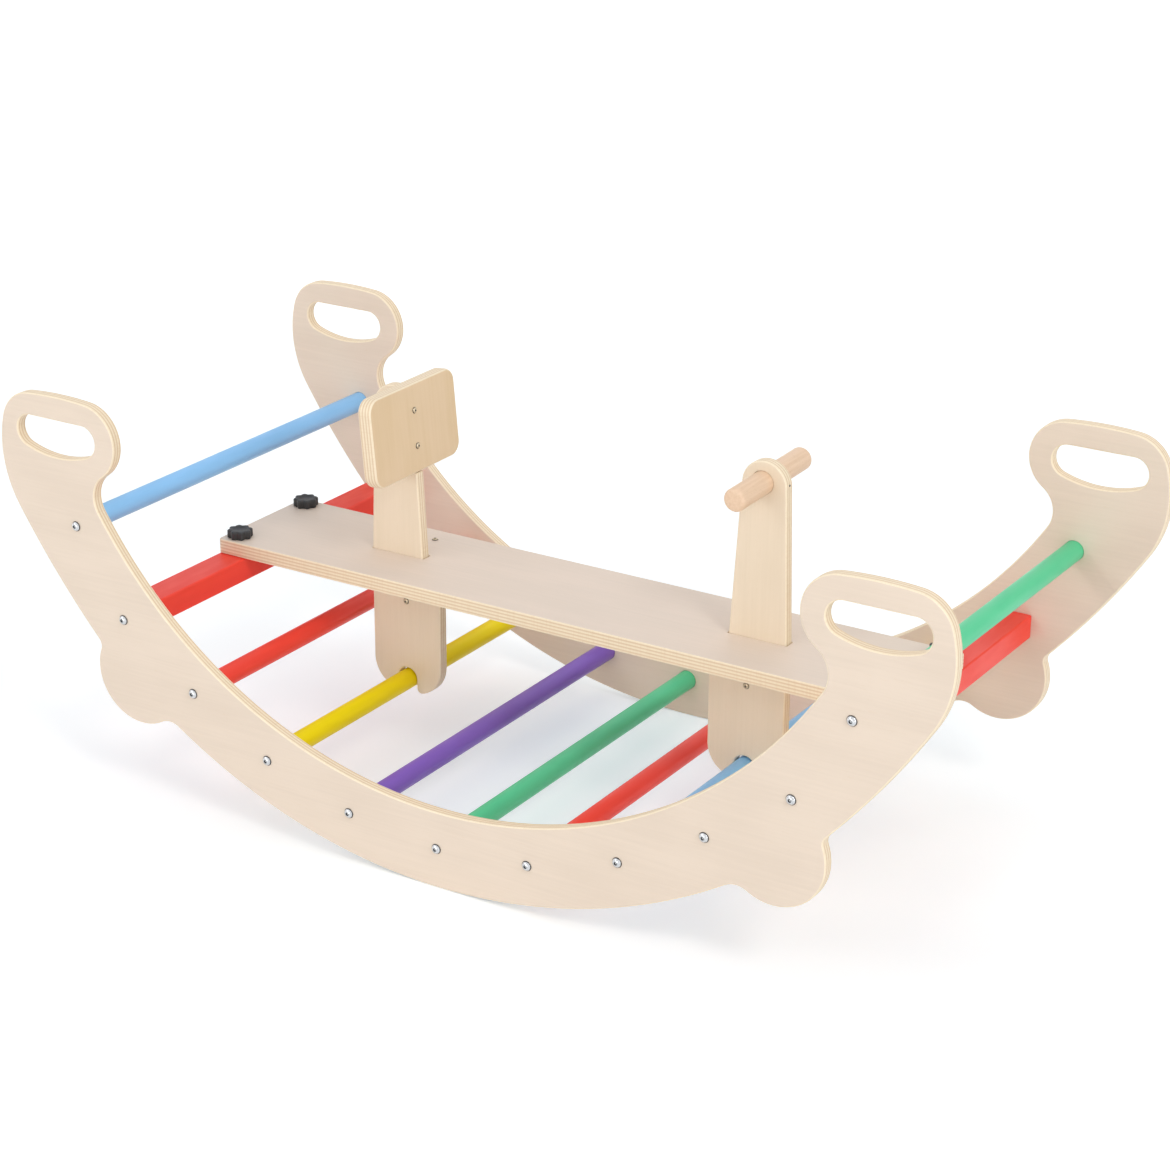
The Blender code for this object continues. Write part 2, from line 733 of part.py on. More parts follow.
def post_inner_root():
    """Return where a post's inner edge leaves the shoulder under the board."""
    return Vector((LEG_HALF - POST_ROOT_WIDTH, -TOUCH_GAP))


def post_top_centre():
    """Return the centre of a post's round top, from the middle of its leg at the board's underside."""
    return Vector((POST_TOP_OUT, BOARD_THICKNESS + POST_TOP_UP))


def bar_centre():
    """Return the handlebar's centre, a little above and inside the centre of the post's round top."""
    return post_top_centre() + Vector((-BAR_INSIDE_TOP, BAR_ABOVE_TOP))


def backrest_corner():
    """Return the inner corner of the notch that the backrest sits in, and its directions up and forward."""
    up = Vector((math.sin(BACKREST_LEAN_ANGLE), math.cos(BACKREST_LEAN_ANGLE)))
    forward = Vector((-up.y, up.x))
    root = post_inner_root()
    edge = tangent_point(root, post_top_centre(), POST_TOP_RADIUS, 1) - root
    ledge_up = post_top_centre().y - LEDGE_BELOW_TOP
    on_edge = root + edge * ((ledge_up - root.y) / edge.y)
    depth = BACKREST_THICKNESS + TOUCH_GAP
    return on_edge, on_edge - depth * forward, up, forward


def leg_end():
    """Return the outer half of a leg's foot: from the notch's top, round its lip, to the outer edge."""
    rung_drop = LEG_PLACE.y - BOARD_UNDERSIDE
    notch_radius = RUNG_RADIUS + NOTCH_CLEARANCE
    notch_centre = (0, rung_drop + NOTCH_RISE)
    end_centre = Vector((LEG_HALF - LEG_END_RADIUS, rung_drop - LEG_BELOW_RUNG + LEG_END_RADIUS))
    lip_x = notch_radius + NOTCH_LIP
    lip_drop = math.sqrt((LEG_END_RADIUS - NOTCH_LIP) ** 2 - (lip_x - end_centre.x) ** 2)
    lip_centre = Vector((lip_x, end_centre.y - lip_drop))
    lip_end = angle_from(end_centre, lip_centre)
    return (
        arc(notch_centre, notch_radius, math.pi / 2, 0, -1)
        + arc(lip_centre, NOTCH_LIP, math.pi, lip_end)
        + arc(end_centre, LEG_END_RADIUS, lip_end, 0)[1:]
    )


def post_outline(with_backrest):
    """Return a post's outline, outer edge at +X, from the middle of its leg at the board's underside."""
    outer_foot = leg_end()
    inner_foot = [Vector((-p.x, p.y)) for p in reversed(outer_foot)][:-1]
    outer_root = Vector((LEG_HALF, -TOUCH_GAP))
    inner_root = post_inner_root()
    top = post_top_centre()
    outer_touch = tangent_point(outer_root, top, POST_TOP_RADIUS, -1)
    outline = inner_foot + outer_foot + [outer_root]
    if with_backrest:
        on_edge, corner, up, _ = backrest_corner()
        to_top = corner - top
        reach = -to_top.dot(up) + math.sqrt(to_top.dot(up) ** 2 - to_top.dot(to_top) + POST_TOP_RADIUS**2)
        upper_end = corner + reach * up
        outline += arc(top, POST_TOP_RADIUS, angle_from(top, outer_touch), angle_from(top, upper_end))
        outline += [corner, on_edge]
    else:
        inner_touch = tangent_point(inner_root, top, POST_TOP_RADIUS, 1)
        outline += arc(top, POST_TOP_RADIUS, angle_from(top, outer_touch), angle_from(top, inner_touch))
    outline += [inner_root, Vector((-LEG_HALF, -TOUCH_GAP))]
    return outline


def leg_screw_way():
    """Return the run of the hole for the screw that ties a leg to its cleat."""
    reach = POST_THICKNESS / 2 + CUT_OVERSHOOT
    return ((0, -reach, -LEG_SCREW_DOWN), (0, reach, -LEG_SCREW_DOWN))


def build_front_post(shop, seat):
    """Make the post that holds the handlebar."""
    top = post_top_centre()
    bar = bar_centre()
    bar_hole = circle(bar, BAR_RADIUS + HOLE_CLEARANCE, RUNG_SIDES)
    blank = upright(flat_solid("front_post", [post_outline(False), bar_hole], POST_THICKNESS))
    pin_way = ((bar.x, 0, top.y), (top.x + POST_TOP_RADIUS + CUT_OVERSHOOT, 0, top.y))
    mesh = shop.cut_mesh(
        blank,
        rods("leg_screw_way", [leg_screw_way()], HOLE_RADIUS, SCREW_SIDES),
        rods("pin_way", [pin_way], BAR_PIN_RADIUS, SCREW_SIDES),
    )
    shop.piece("front_post", mesh, "plywood", (LEG_PLACE.x, 0, 0), parent=seat)


def backrest_frame():
    """Return the backrest's centre, its lean up and its facing direction in the seat's X and Z."""
    _, corner, up, forward = backrest_corner()
    centre = corner + (TOUCH_GAP + BACKREST_HEIGHT / 2) * up + (TOUCH_GAP + BACKREST_THICKNESS / 2) * forward
    flip = Vector((-1, 1))
    middle = Vector((-LEG_PLACE.x, 0)) + centre * flip
    return middle, up * flip, forward * flip


def build_rear_post(shop, seat):
    """Make the post that holds the backrest in a leaning notch."""
    outline = [Vector((-p.x, p.y)) for p in post_outline(True)]
    blank = upright(flat_solid("rear_post", [outline], POST_THICKNESS))
    middle, up, forward = backrest_frame()
    middle = middle + Vector((LEG_PLACE.x, 0))
    bores = []
    for side in (-1, 1):
        on_face = middle + side * BACKREST_SCREW_SPACING / 2 * up
        depth = BACKREST_THICKNESS / 2 + bore_depth(BACKREST_THICKNESS)
        inner = on_face - depth * forward
        bores.append(((inner.x, 0, inner.y), (on_face.x, 0, on_face.y)))
    mesh = shop.cut_mesh(
        blank,
        rods("leg_screw_way", [leg_screw_way()], HOLE_RADIUS, SCREW_SIDES),
        rods("backrest_bores", bores, HOLE_RADIUS, SCREW_SIDES),
    )
    shop.piece("rear_post", mesh, "plywood", (-LEG_PLACE.x, 0, 0), parent=seat)


def build_backrest(shop, seat, screw):
    """Make the leaning backrest plate and drive its two screws."""
    holes = [
        circle((0, side * BACKREST_SCREW_SPACING / 2), HOLE_RADIUS, SCREW_SIDES) for side in (-1, 1)
    ]
    mesh = flat_solid(
        "backrest",
        [rounded_rectangle(BACKREST_WIDTH, BACKREST_HEIGHT, BACKREST_CORNER), *holes],
        BACKREST_THICKNESS,
    )
    mesh.transform(Matrix.Rotation(math.pi / 2, 4, "Z") @ Matrix.Rotation(math.pi / 2, 4, "X"))
    middle, up, forward = backrest_frame()
    lean = (0, -BACKREST_LEAN_ANGLE, 0)
    shop.piece("backrest", mesh, "plywood", (middle.x, 0, middle.y), rotation=lean, parent=seat)
    for name, side in (("upper", 1), ("lower", -1)):
        at = middle + side * BACKREST_SCREW_SPACING / 2 * up + BACKREST_THICKNESS / 2 * forward
        drive_screw(
            shop, f"backrest_screw_{name}", screw, (at.x, 0, at.y), (forward.x, 0, forward.y), seat
        )


def build_handlebar(shop, seat):
    """Make the round bar through the front post's top, with softened ends."""
    half = BAR_LENGTH / 2
    waist = BAR_RADIUS - BAR_END_ROUND
    corner = (waist, half - BAR_END_ROUND)
    step = math.pi / 2 / BAR_ROUND_STEPS
    rounding = [point_at(corner, BAR_END_ROUND, math.pi / 2 - k * step) for k in range(BAR_ROUND_STEPS + 1)]
    profile = [(0, half), *rounding, *[(r, -z) for r, z in reversed(rounding)], (0, -half)]
    mesh = turned_solid(shop, "handlebar", profile, RUNG_SIDES)
    bar = bar_centre()
    shop.piece(
        "handlebar", mesh, "beech", (LEG_PLACE.x + bar.x, 0, bar.y), rotation=(math.pi / 2, 0, 0), parent=seat
    )


def build_cleats(shop, seat, screw):
    """Make the two blocks that tie the legs to the board, and drive their screws."""
    middle = Vector((0, CLEAT_NEAR_FACE + CLEAT_REACH / 2, -TOUCH_GAP - CLEAT_HEIGHT / 2))
    block = shop.modified_mesh(
        box_solid("cleat", (CLEAT_WIDTH, CLEAT_REACH, CLEAT_HEIGHT)), lambda blank: ease(blank, CLEAT_EASING)
    )
    block.transform(Matrix.Translation(middle))
    leg_bore = (
        (0, CLEAT_NEAR_FACE - CUT_OVERSHOOT, -LEG_SCREW_DOWN),
        (0, CLEAT_NEAR_FACE + bore_depth(POST_THICKNESS + TOUCH_GAP), -LEG_SCREW_DOWN),
    )
    board_bore = (
        (0, BOARD_SCREW_ACROSS, CUT_OVERSHOOT),
        (0, BOARD_SCREW_ACROSS, -bore_depth(BOARD_THICKNESS)),
    )
    mesh = shop.cut_mesh(block, rods("bores", [leg_bore, board_bore], HOLE_RADIUS, SCREW_SIDES))
    for name, end in (("rear", -1), ("front", 1)):
        x = end * LEG_PLACE.x
        shop.piece(f"cleat_{name}", mesh, "beech", (x, 0, 0), parent=seat)
        leg_seat = (x, -POST_THICKNESS / 2, -LEG_SCREW_DOWN)
        drive_screw(shop, f"leg_screw_{name}", screw, leg_seat, (0, -1, 0), seat)
        board_seat = (x, BOARD_SCREW_ACROSS, BOARD_THICKNESS)
        drive_screw(shop, f"board_screw_{name}", screw, board_seat, (0, 0, 1), seat)


# Knobs


def knob_head_mesh(shop):
    """Return a low star knob on Z, standing on zero, with the stud's bore in its underside."""
    count = KNOB_LOBES * KNOB_POINTS_PER_LOBE
    star = [
        point_at((0, 0), KNOB_RADIUS - KNOB_SCALLOP * (1 - math.cos(KNOB_LOBES * angle)), angle)
        for angle in (math.tau * k / count for k in range(count))
    ]
    blank = shop.modified_mesh(flat_solid("knob", [star], KNOB_HEIGHT), lambda b: ease(b, KNOB_EASING))
    blank.transform(Matrix.Translation((0, 0, KNOB_HEIGHT / 2)))
    bore = ((0, 0, -CUT_OVERSHOOT), (0, 0, STUD_IN_KNOB + HOLE_CLEARANCE))
    return shop.cut_mesh(blank, rods("bore", [bore], STUD_RADIUS + HOLE_CLEARANCE, STUD_SIDES))


def stud_mesh(shop):
    """Return a stud on Z whose zero is the underside of its knob."""
    tip = -(BOARD_THICKNESS + 2 * TOUCH_GAP + INSERT_LENGTH + STUD_PAST_INSERT)
    profile = [
        (0, STUD_IN_KNOB),
        (STUD_RADIUS, STUD_IN_KNOB),
        (STUD_RADIUS, tip + STUD_CHAMFER),
        (STUD_RADIUS - STUD_CHAMFER, tip),
        (0, tip),
    ]
    return turned_solid(shop, "stud", profile, STUD_SIDES)


def insert_mesh(shop):
    """Return a threaded insert on Z, hanging down from zero."""
    outer = insert_pocket_radius() - HOLE_CLEARANCE
    inner = STUD_RADIUS + HOLE_CLEARANCE
    profile = [(outer, 0), (outer, -INSERT_LENGTH), (inner, -INSERT_LENGTH), (inner, 0)]
    return turned_solid(shop, "insert", profile, STUD_SIDES, closed=True)


def build_knobs(shop, seat):
    """Make the four knobs on the board, their studs, and the inserts in the beams."""
    head = knob_head_mesh(shop)
    stud = stud_mesh(shop)
    insert = insert_mesh(shop)
    places = [(end, side) for end in (-1, 1) for side in (-1, 1)]
    for number, (end, side) in enumerate(places, start=1):
        x = end * BEAM_PLACE.x
        y = side * KNOB_SPACING / 2
        axis = shop.empty(f"knob_axis_{number}", (x, y, BOARD_THICKNESS + TOUCH_GAP), parent=seat)
        shop.piece(f"knob_head_{number}", head, "black_plastic", (0, 0, 0), parent=axis)
        shop.piece(f"knob_stud_{number}", stud, "zinc_steel", (0, 0, 0), parent=axis)
        shop.piece(f"insert_{number}", insert, "brass", (x, y, BEAM_TOP))


def main():
    """Build the whole arch."""
    clear_scene()
    shop = Workshop()
    build_panels(shop)
    build_rungs(shop)
    build_beams(shop)
    screw = screw_mesh(shop)
    build_panel_screws(shop, screw)
    seat = shop.empty("seat_lift", (0, 0, BOARD_UNDERSIDE))
    build_board(shop, seat)
    build_rear_post(shop, seat)
    build_front_post(shop, seat)
    build_backrest(shop, seat, screw)
    build_handlebar(shop, seat)
    build_cleats(shop, seat, screw)
    build_knobs(shop, seat)


main()
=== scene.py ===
"""Climbing arch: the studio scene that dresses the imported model.

Metres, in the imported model's frame: X runs along the arch from the backrest to the handlebar, Y runs across
it with the near panel at -Y, and the origin lies on the floor under the middle of the arch. Each piece built
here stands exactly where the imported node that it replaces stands.
"""

import logging
import math
from dataclasses import dataclass
from enum import Enum
from typing import Callable, Iterable

import bmesh
import bpy
from mathutils import Matrix, Vector
from mathutils.geometry import tessellate_polygon


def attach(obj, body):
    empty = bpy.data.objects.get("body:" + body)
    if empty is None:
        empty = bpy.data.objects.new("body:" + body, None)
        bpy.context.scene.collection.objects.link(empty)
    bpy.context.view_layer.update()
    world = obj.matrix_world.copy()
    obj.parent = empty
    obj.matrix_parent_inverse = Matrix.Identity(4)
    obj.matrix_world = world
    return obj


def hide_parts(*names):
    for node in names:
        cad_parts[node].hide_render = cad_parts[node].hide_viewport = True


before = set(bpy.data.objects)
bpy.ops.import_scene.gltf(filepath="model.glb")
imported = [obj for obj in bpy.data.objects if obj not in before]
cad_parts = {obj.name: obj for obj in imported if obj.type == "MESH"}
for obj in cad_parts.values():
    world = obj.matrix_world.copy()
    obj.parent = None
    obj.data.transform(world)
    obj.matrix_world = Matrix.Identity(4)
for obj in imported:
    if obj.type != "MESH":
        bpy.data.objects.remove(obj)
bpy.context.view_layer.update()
LOG = logging.getLogger("climbing_arch")

Tree = bpy.types.NodeTree
Node = bpy.types.Node
Socket = bpy.types.NodeSocket
Mesh = bpy.types.Mesh
Object = bpy.types.Object
Colour = tuple[float, float, float, float]
Source = Node | Socket | float | tuple
Loop = list[Vector]
Wall = list[Loop]

MATH = "ShaderNodeMath"
MAP_RANGE = "ShaderNodeMapRange"
SMOOTH = "SMOOTHSTEP"
FLOAT = "NodeSocketFloat"

TOUCH_GAP = 0.0003
ARC_SAGITTA = 0.00002
ARC_STEP_ANGLE = math.radians(6)
EASE_STEPS = 5
SHARP_ANGLE = math.radians(40)
ROUND_SIDES = 72
BORE_SIDES = 24
NOISE_SPAN = (0.3, 0.7)
WHITE = "FFFFFF"


class End(Enum):
    """The two ends of the arch, by their direction along X."""

    REAR = -1
    FRONT = 1


class Side(Enum):
    """The two sides of the arch, by their direction along Y."""

    NEAR = -1
    FAR = 1


class Body(Enum):
    """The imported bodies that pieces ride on, apart from the knobs and their studs."""

    FRAME = "frame"
    SEAT = "seat"


# Finishes


def linear(hex_colour: str) -> Colour:
    """Turn an sRGB hex colour into linear light.

    Args:
        hex_colour: Six hex digits, red first.

    Returns:
        Linear red, green, blue and an alpha of one.
    """
    channels = [int(hex_colour[i : i + 2], 16) / 255 for i in (0, 2, 4)]
    red, green, blue = (c / 12.92 if c <= 0.04045 else ((c + 0.055) / 1.055) ** 2.4 for c in channels)
    return red, green, blue, 1.0


def toned(hex_colour: str, share: float) -> Colour:
    """Return a colour in linear light, made darker or lighter by a share."""
    red, green, blue, alpha = linear(hex_colour)
    return share * red, share * green, share * blue, alpha


def feed(node: Node, name: str | int, source: Source) -> None:
    """Give a node's input its value or its link.

    Args:
        node: The node.
        name: The input's name or number.
        source: A value, an output, or a node whose first output is meant.
    """
    if isinstance(source, Node):
        source = source.outputs[0]
    if isinstance(source, Socket):
        node.id_data.links.new(source, node.inputs[name])
    else:
        node.inputs[name].default_value = source


def add_node(tree: Tree, kind: str, inputs: dict | tuple = (), **settings: str) -> Node:
    """Add a node to a tree with its settings, values and links.

    Args:
        tree: The shader or geometry tree.
        kind: The node's Blender type.
        inputs: What feeds each input, in their order or by name or number.
        **settings: The node's own properties.

    Returns:
        The new node.
    """
    node = tree.nodes.new(kind)
    for name, value in settings.items():
        setattr(node, name, value)
    for name, source in inputs.items() if isinstance(inputs, dict) else enumerate(inputs):
        feed(node, name, source)
    return node


@dataclass(frozen=True)
class Finish:
    """A surface finish, which makes its material once and then hands out the same one."""

    name: str

    def material(self) -> bpy.types.Material:
        """Return this finish's material.

        Returns:
            The material, made on the first call.
        """
        made = bpy.data.materials.get(self.name)
        if made is None:
            made = bpy.data.materials.new(self.name)
            made.use_nodes = True
            self.dress(made.node_tree, made.node_tree.nodes["Principled BSDF"])
        return made

    def dress(self, tree: Tree, shader: Node) -> None:
        """Add this finish's nodes and set its shader.

        Args:
            tree: The material's node tree.
            shader: Its Principled shader.
        """
        raise NotImplementedError


def stretched_noise(tree: Tree, place: Source, sizes: tuple, detail: float, seed: float) -> Node:
    """Add noise whose blotches have the given size along each axis.

    Args:
        tree: The material's node tree.
        place: The pattern's coordinates, in metres.
        sizes: The blotch's length along X, Y and Z, in metres.
        detail: How many finer octaves the noise has.
        seed: A shift that sets this noise apart from the others.

    Returns:
        The noise, whose value goes from 0 to 1.
    """
    inputs = {"Vector": place, "Location": (seed, seed, seed), "Scale": tuple(1 / size for size in sizes)}
    spread = add_node(tree, "ShaderNodeMapping", inputs)
    return add_node(tree, "ShaderNodeTexNoise", {"Vector": spread, "Scale": 1.0, "Detail": detail})


def stained(tree: Tree, pattern: Node, span: tuple, strength: Source, under: Source, over: Source) -> Socket:
    """Lay one colour over another as far as a pattern goes.

    Args:
        tree: The material's node tree.
        pattern: The pattern.
        span: The pattern's values at which the second colour starts to show and shows most.
        strength: How much of the second colour shows at most.
        under: The first colour.
        over: The second colour.

    Returns:
        The output with the stained colour.
    """
    share = add_node(tree, MAP_RANGE, (pattern, *span, 0.0, strength), interpolation_type=SMOOTH)
    return add_node(tree, "ShaderNodeMix", {0: share, 6: under, 7: over}, data_type="RGBA").outputs[2]


def lay_on(tree: Tree, shader: Node, colour: Source, height: Source, depth: float, strength: float) -> None:
    """Give a shader its colour and a fine relief.

    Args:
        tree: The material's node tree.
        shader: Its Principled shader.
        colour: The colour.
        height: The relief's pattern, from 0 to 1.
        depth: The relief's depth, in metres.
        strength: How much of the relief shows.
    """
    feed(shader, "Base Color", colour)
    bump = add_node(tree, "ShaderNodeBump", {"Height": height, "Distance": depth, "Strength": strength})
    feed(shader, "Normal", bump)


def vary_roughness(tree: Tree, shader: Node, pattern: Node, low: float, high: float) -> None:
    """Let a pattern vary how rough a surface is.

    Args:
        tree: The material's node tree.
        shader: Its Principled shader.
        pattern: The pattern.
        low: The roughness where the pattern is weak.
        high: The roughness where it is strong.
    """
    swing = (pattern, *NOISE_SPAN, low, high)
    feed(shader, "Roughness", add_node(tree, MAP_RANGE, swing, interpolation_type=SMOOTH))


@dataclass(frozen=True)
class BirchPlywood(Finish):
    """Birch plywood, sawn to shape, sanded and coated with clear matt lacquer.

    The eye gets a pale, faintly streaked face veneer and, on every cut edge, light and darker plies in turn
    with thin glue lines between them.
    """

    place: Matrix
    thickness: float
    plies: int
    seed: float
    face_light: str = "ECDBC9"
    face_dark: str = "E6D5C3"
    long_ply: str = "FBEBD0"
    cross_ply: str = "E2C6A0"
    glue: str = "C8A47C"
    roughness: float = 0.46
    figure_size: tuple = (0.120, 0.045, 0.045)
    streak_size: tuple = (0.090, 0.0030, 0.0030)
    fleck_size: tuple = (0.009, 0.0007, 0.0007)
    saw_size: tuple = (0.0012, 0.0012, 0.020)
    glue_half: float = 0.00014
    figure_share: float = 0.6
    mottle_span: tuple = (0.34, 0.66)
    fleck_span: tuple = (0.60, 0.74)
    fleck_strength: float = 0.14
    pore_span: tuple = (0.60, 0.72)
    pore_depth: float = 0.5
    glue_strength: float = 0.45
    ply_softness: tuple = (0.10, 0.38)
    saw_span: tuple = (0.45, 0.75)
    saw_strength: float = 0.25
    edge_span: tuple = (0.86, 0.97)
    relief: tuple = (0.00004, 0.6)

    def dress(self, tree: Tree, shader: Node) -> None:
        """Add the face's figure, the edge's plies and a fine relief.

        Args:
            tree: The material's node tree.
            shader: Its Principled shader.
        """
        turn = tuple(self.place.to_euler())
        source = add_node(tree, "ShaderNodeTexCoord").outputs
        inputs = {"Vector": source["Object"], "Location": tuple(self.place.translation), "Rotation": turn}
        here = add_node(tree, "ShaderNodeMapping", inputs, vector_type="TEXTURE")
        inputs = {"Vector": source["Normal"], "Rotation": turn}
        out = add_node(tree, "ShaderNodeMapping", inputs, vector_type="TEXTURE")
        depth = add_node(tree, "ShaderNodeSeparateXYZ", (here,)).outputs["Z"]
        outward = add_node(tree, "ShaderNodeSeparateXYZ", (out,)).outputs["Z"]
        squareness = add_node(tree, MATH, (outward,), operation="ABSOLUTE")

        light, dark, cross_ply = linear(self.face_light), linear(self.face_dark), linear(self.cross_ply)
        figure = stretched_noise(tree, here, self.figure_size, 2.0, self.seed)
        streaks = stretched_noise(tree, here, self.streak_size, 4.0, self.seed + 7.0)
        flecks = stretched_noise(tree, here, self.fleck_size, 2.0, self.seed + 11.0)
        mottle = add_node(tree, MATH, (figure, self.figure_share), operation="MULTIPLY")
        mottle = add_node(tree, MATH, (streaks, 1 - self.figure_share, mottle), operation="MULTIPLY_ADD")
        face = stained(tree, mottle, self.mottle_span, 1.0, light, dark)
        face = stained(tree, flecks, self.fleck_span, self.fleck_strength, face, cross_ply)

        density = self.plies / self.thickness
        ply_place = add_node(tree, MATH, (depth, density, self.plies / 2), operation="MULTIPLY_ADD")
        ply = add_node(tree, MATH, (ply_place,), operation="FLOOR")
        parity = add_node(tree, MATH, (ply, 2.0), operation="MODULO")
        from_line = add_node(tree, MATH, (ply_place, -0.5, 0.5), operation="WRAP")
        to_line = add_node(tree, MATH, (from_line,), operation="ABSOLUTE")
        saw = stretched_noise(tree, here, self.saw_size, 2.0, self.seed + 17.0)
        edge = stained(tree, to_line, self.ply_softness, parity, linear(self.long_ply), cross_ply)
        edge = stained(tree, saw, self.saw_span, self.saw_strength, edge, cross_ply)
        line_span = (2 * self.glue_half * density, 0.0)
        edge = stained(tree, to_line, line_span, self.glue_strength, edge, linear(self.glue))

        pores = (flecks, *self.pore_span, 0.0, self.pore_depth)
        pores = add_node(tree, MAP_RANGE, pores, interpolation_type=SMOOTH)
        height = add_node(tree, MATH, (streaks, pores), operation="SUBTRACT")
        lay_on(tree, shader, stained(tree, squareness, self.edge_span, 1.0, edge, face), height, *self.relief)
        feed(shader, "Roughness", self.roughness)


@dataclass(frozen=True)
class PaintedBeech(Finish):
    """Beech, turned or planed, under one coat of satin water-based paint.

    The eye gets a flat bright colour with a soft sheen, through which the grain along the piece shows.
    """

    colour: str
    gloss: float = 0.45
    roughness_range: tuple = (0.37, 0.47)
    thick_tone: float = 0.94
    grain_size: tuple = (0.0012, 0.030, 0.0012)
    grain_span: tuple = (0.58, 0.75)
    grain_strength: float = 0.7
    cloud_size: tuple = (0.012, 0.050, 0.012)
    cloud_span: tuple = (0.35, 0.65)
    cloud_strength: float = 0.6
    relief: tuple = (0.00006, 0.5)

    def dress(self, tree: Tree, shader: Node) -> None:
        """Add faint grain and unevenness of the coat.

        Args:
            tree: The material's node tree.
            shader: Its Principled shader.
        """
        here = add_node(tree, "ShaderNodeTexCoord").outputs["Object"]
        grain = stretched_noise(tree, here, self.grain_size, 3.0, 5.0)
        clouds = stretched_noise(tree, here, self.cloud_size, 2.0, 9.0)
        thick = toned(self.colour, self.thick_tone)
        coat = stained(tree, clouds, self.cloud_span, self.cloud_strength, linear(self.colour), thick)
        coat = stained(tree, grain, self.grain_span, self.grain_strength, coat, thick)
        lay_on(tree, shader, coat, grain, *self.relief)
        vary_roughness(tree, shader, clouds, *self.roughness_range)
        feed(shader, "Specular IOR Level", self.gloss)


@dataclass(frozen=True)
class LacqueredBeech(Finish):
    """Steamed beech, turned or planed, under clear matt lacquer.

    The eye gets a warm pinkish wood with long soft streaks and beech's short dark flecks along the grain.
    """

    light: str = "F1D2B5"
    dark: str = "EAC9A9"
    fleck: str = "CDA682"
    roughness: float = 0.45
    streak_size: tuple = (0.0025, 0.080, 0.0025)
    streak_span: tuple = (0.32, 0.68)
    fleck_size: tuple = (0.0007, 0.0035, 0.0007)
    fleck_span: tuple = (0.60, 0.72)
    fleck_strength: float = 0.25
    relief: tuple = (0.00005, 0.5)

    def dress(self, tree: Tree, shader: Node) -> None:
        """Add streaks and flecks that run along Y.

        Args:
            tree: The material's node tree.
            shader: Its Principled shader.
        """
        here = add_node(tree, "ShaderNodeTexCoord").outputs["Object"]
        streaks = stretched_noise(tree, here, self.streak_size, 4.0, 2.0)
        flecks = stretched_noise(tree, here, self.fleck_size, 1.0, 6.0)
        wood = stained(tree, streaks, self.streak_span, 1.0, linear(self.light), linear(self.dark))
        wood = stained(tree, flecks, self.fleck_span, self.fleck_strength, wood, linear(self.fleck))
        lay_on(tree, shader, wood, streaks, *self.relief)
        feed(shader, "Roughness", self.roughness)


@dataclass(frozen=True)
class MouldedNylon(Finish):
    """Black glass-filled nylon, injection moulded against a spark-eroded tool.

    The eye gets a soft black with a fine pebble that breaks up its highlights.
    """

    colour: str = "2A2A2C"
    roughness_range: tuple = (0.42, 0.56)
    worn_tone: float = 1.5
    pebble_size: tuple = (0.0006, 0.0006, 0.0006)
    pebble_span: tuple = (0.4, 0.7)
    relief: tuple = (0.00008, 0.6)

    def dress(self, tree: Tree, shader: Node) -> None:
        """Add the tool's pebble to the relief and the gloss.

        Args:
            tree: The material's node tree.
            shader: Its Principled shader.
        """
        here = add_node(tree, "ShaderNodeTexCoord").outputs["Object"]
        pebble = stretched_noise(tree, here, self.pebble_size, 2.0, 4.0)
        worn = toned(self.colour, self.worn_tone)
        colour = stained(tree, pebble, self.pebble_span, 1.0, linear(self.colour), worn)
        lay_on(tree, shader, colour, pebble, *self.relief)
        vary_roughness(tree, shader, pebble, *self.roughness_range)


@dataclass(frozen=True)
class PlatedMetal(Finish):
    """A metal part, turned or cold headed, then plated or left bright.

    The eye gets a bright metal whose gloss varies a little, as barrel-plated parts have it. Where the mesh's
    "crevice" attribute says so, a dark colour is painted in as shade, in a screw's socket and round its
    head's rim.
    """

    colour: str
    roughness: float
    roughness_swing: float = 0.12
    dull_tone: float = 0.82
    blotch_size: tuple = (0.0015, 0.0015, 0.0015)
    blotch_span: tuple = (0.4, 0.7)
    # dark colour painted in as shade in screw sockets and round head rims
    painted_shade: str = "454341"

    def dress(self, tree: Tree, shader: Node) -> None:
        """Make the shader a metal with slightly uneven gloss.

        Args:
            tree: The material's node tree.
            shader: Its Principled shader.
        """
        here = add_node(tree, "ShaderNodeTexCoord").outputs["Object"]
        blotches = stretched_noise(tree, here, self.blotch_size, 2.0, 8.0)
        dull = toned(self.colour, self.dull_tone)
        metal = stained(tree, blotches, self.blotch_span, 1.0, linear(self.colour), dull)
        # painted shade: the mesh's attribute mixes the dark colour into screw sockets and head rims, where
        # shade falls
        crevice = add_node(tree, "ShaderNodeAttribute", attribute_name="crevice").outputs["Fac"]
        inputs = {0: crevice, 6: metal, 7: linear(self.painted_shade)}
        feed(shader, "Base Color", add_node(tree, "ShaderNodeMix", inputs, data_type="RGBA").outputs[2])
        vary_roughness(tree, shader, blotches, self.roughness, self.roughness + self.roughness_swing)
        feed(shader, "Metallic", 1.0)


BLUE_PAINT = PaintedBeech("satin_paint_blue", "92CDFF")
RED_PAINT = PaintedBeech("satin_paint_red", "FD4434")
YELLOW_PAINT = PaintedBeech("satin_paint_yellow", "FFE600", 0.25)
PURPLE_PAINT = PaintedBeech("satin_paint_purple", "8660C8")
GREEN_PAINT = PaintedBeech("satin_paint_green", "57D39B")
BEECH = LacqueredBeech("lacquered_beech")
NYLON = MouldedNylon("moulded_nylon_black")
ZINC = PlatedMetal("bright_zinc_plate", "D5D7DA", 0.18)
YELLOW_ZINC = PlatedMetal("yellow_chromated_zinc_plate", "CFC0A6", 0.35)
BRASS = PlatedMetal("turned_brass", "D2AE62", 0.25)
STEEL = PlatedMetal("black_oxide_steel", "6E6A66", 0.4)


# Flat outlines from lines and arcs


def point_at(centre: Iterable[float], radius: float, angle: float) -> Vector:
    """Return the point of a circle at an angle."""
    x, y = centre
    return Vector((x + radius * math.cos(angle), y + radius * math.sin(angle)))


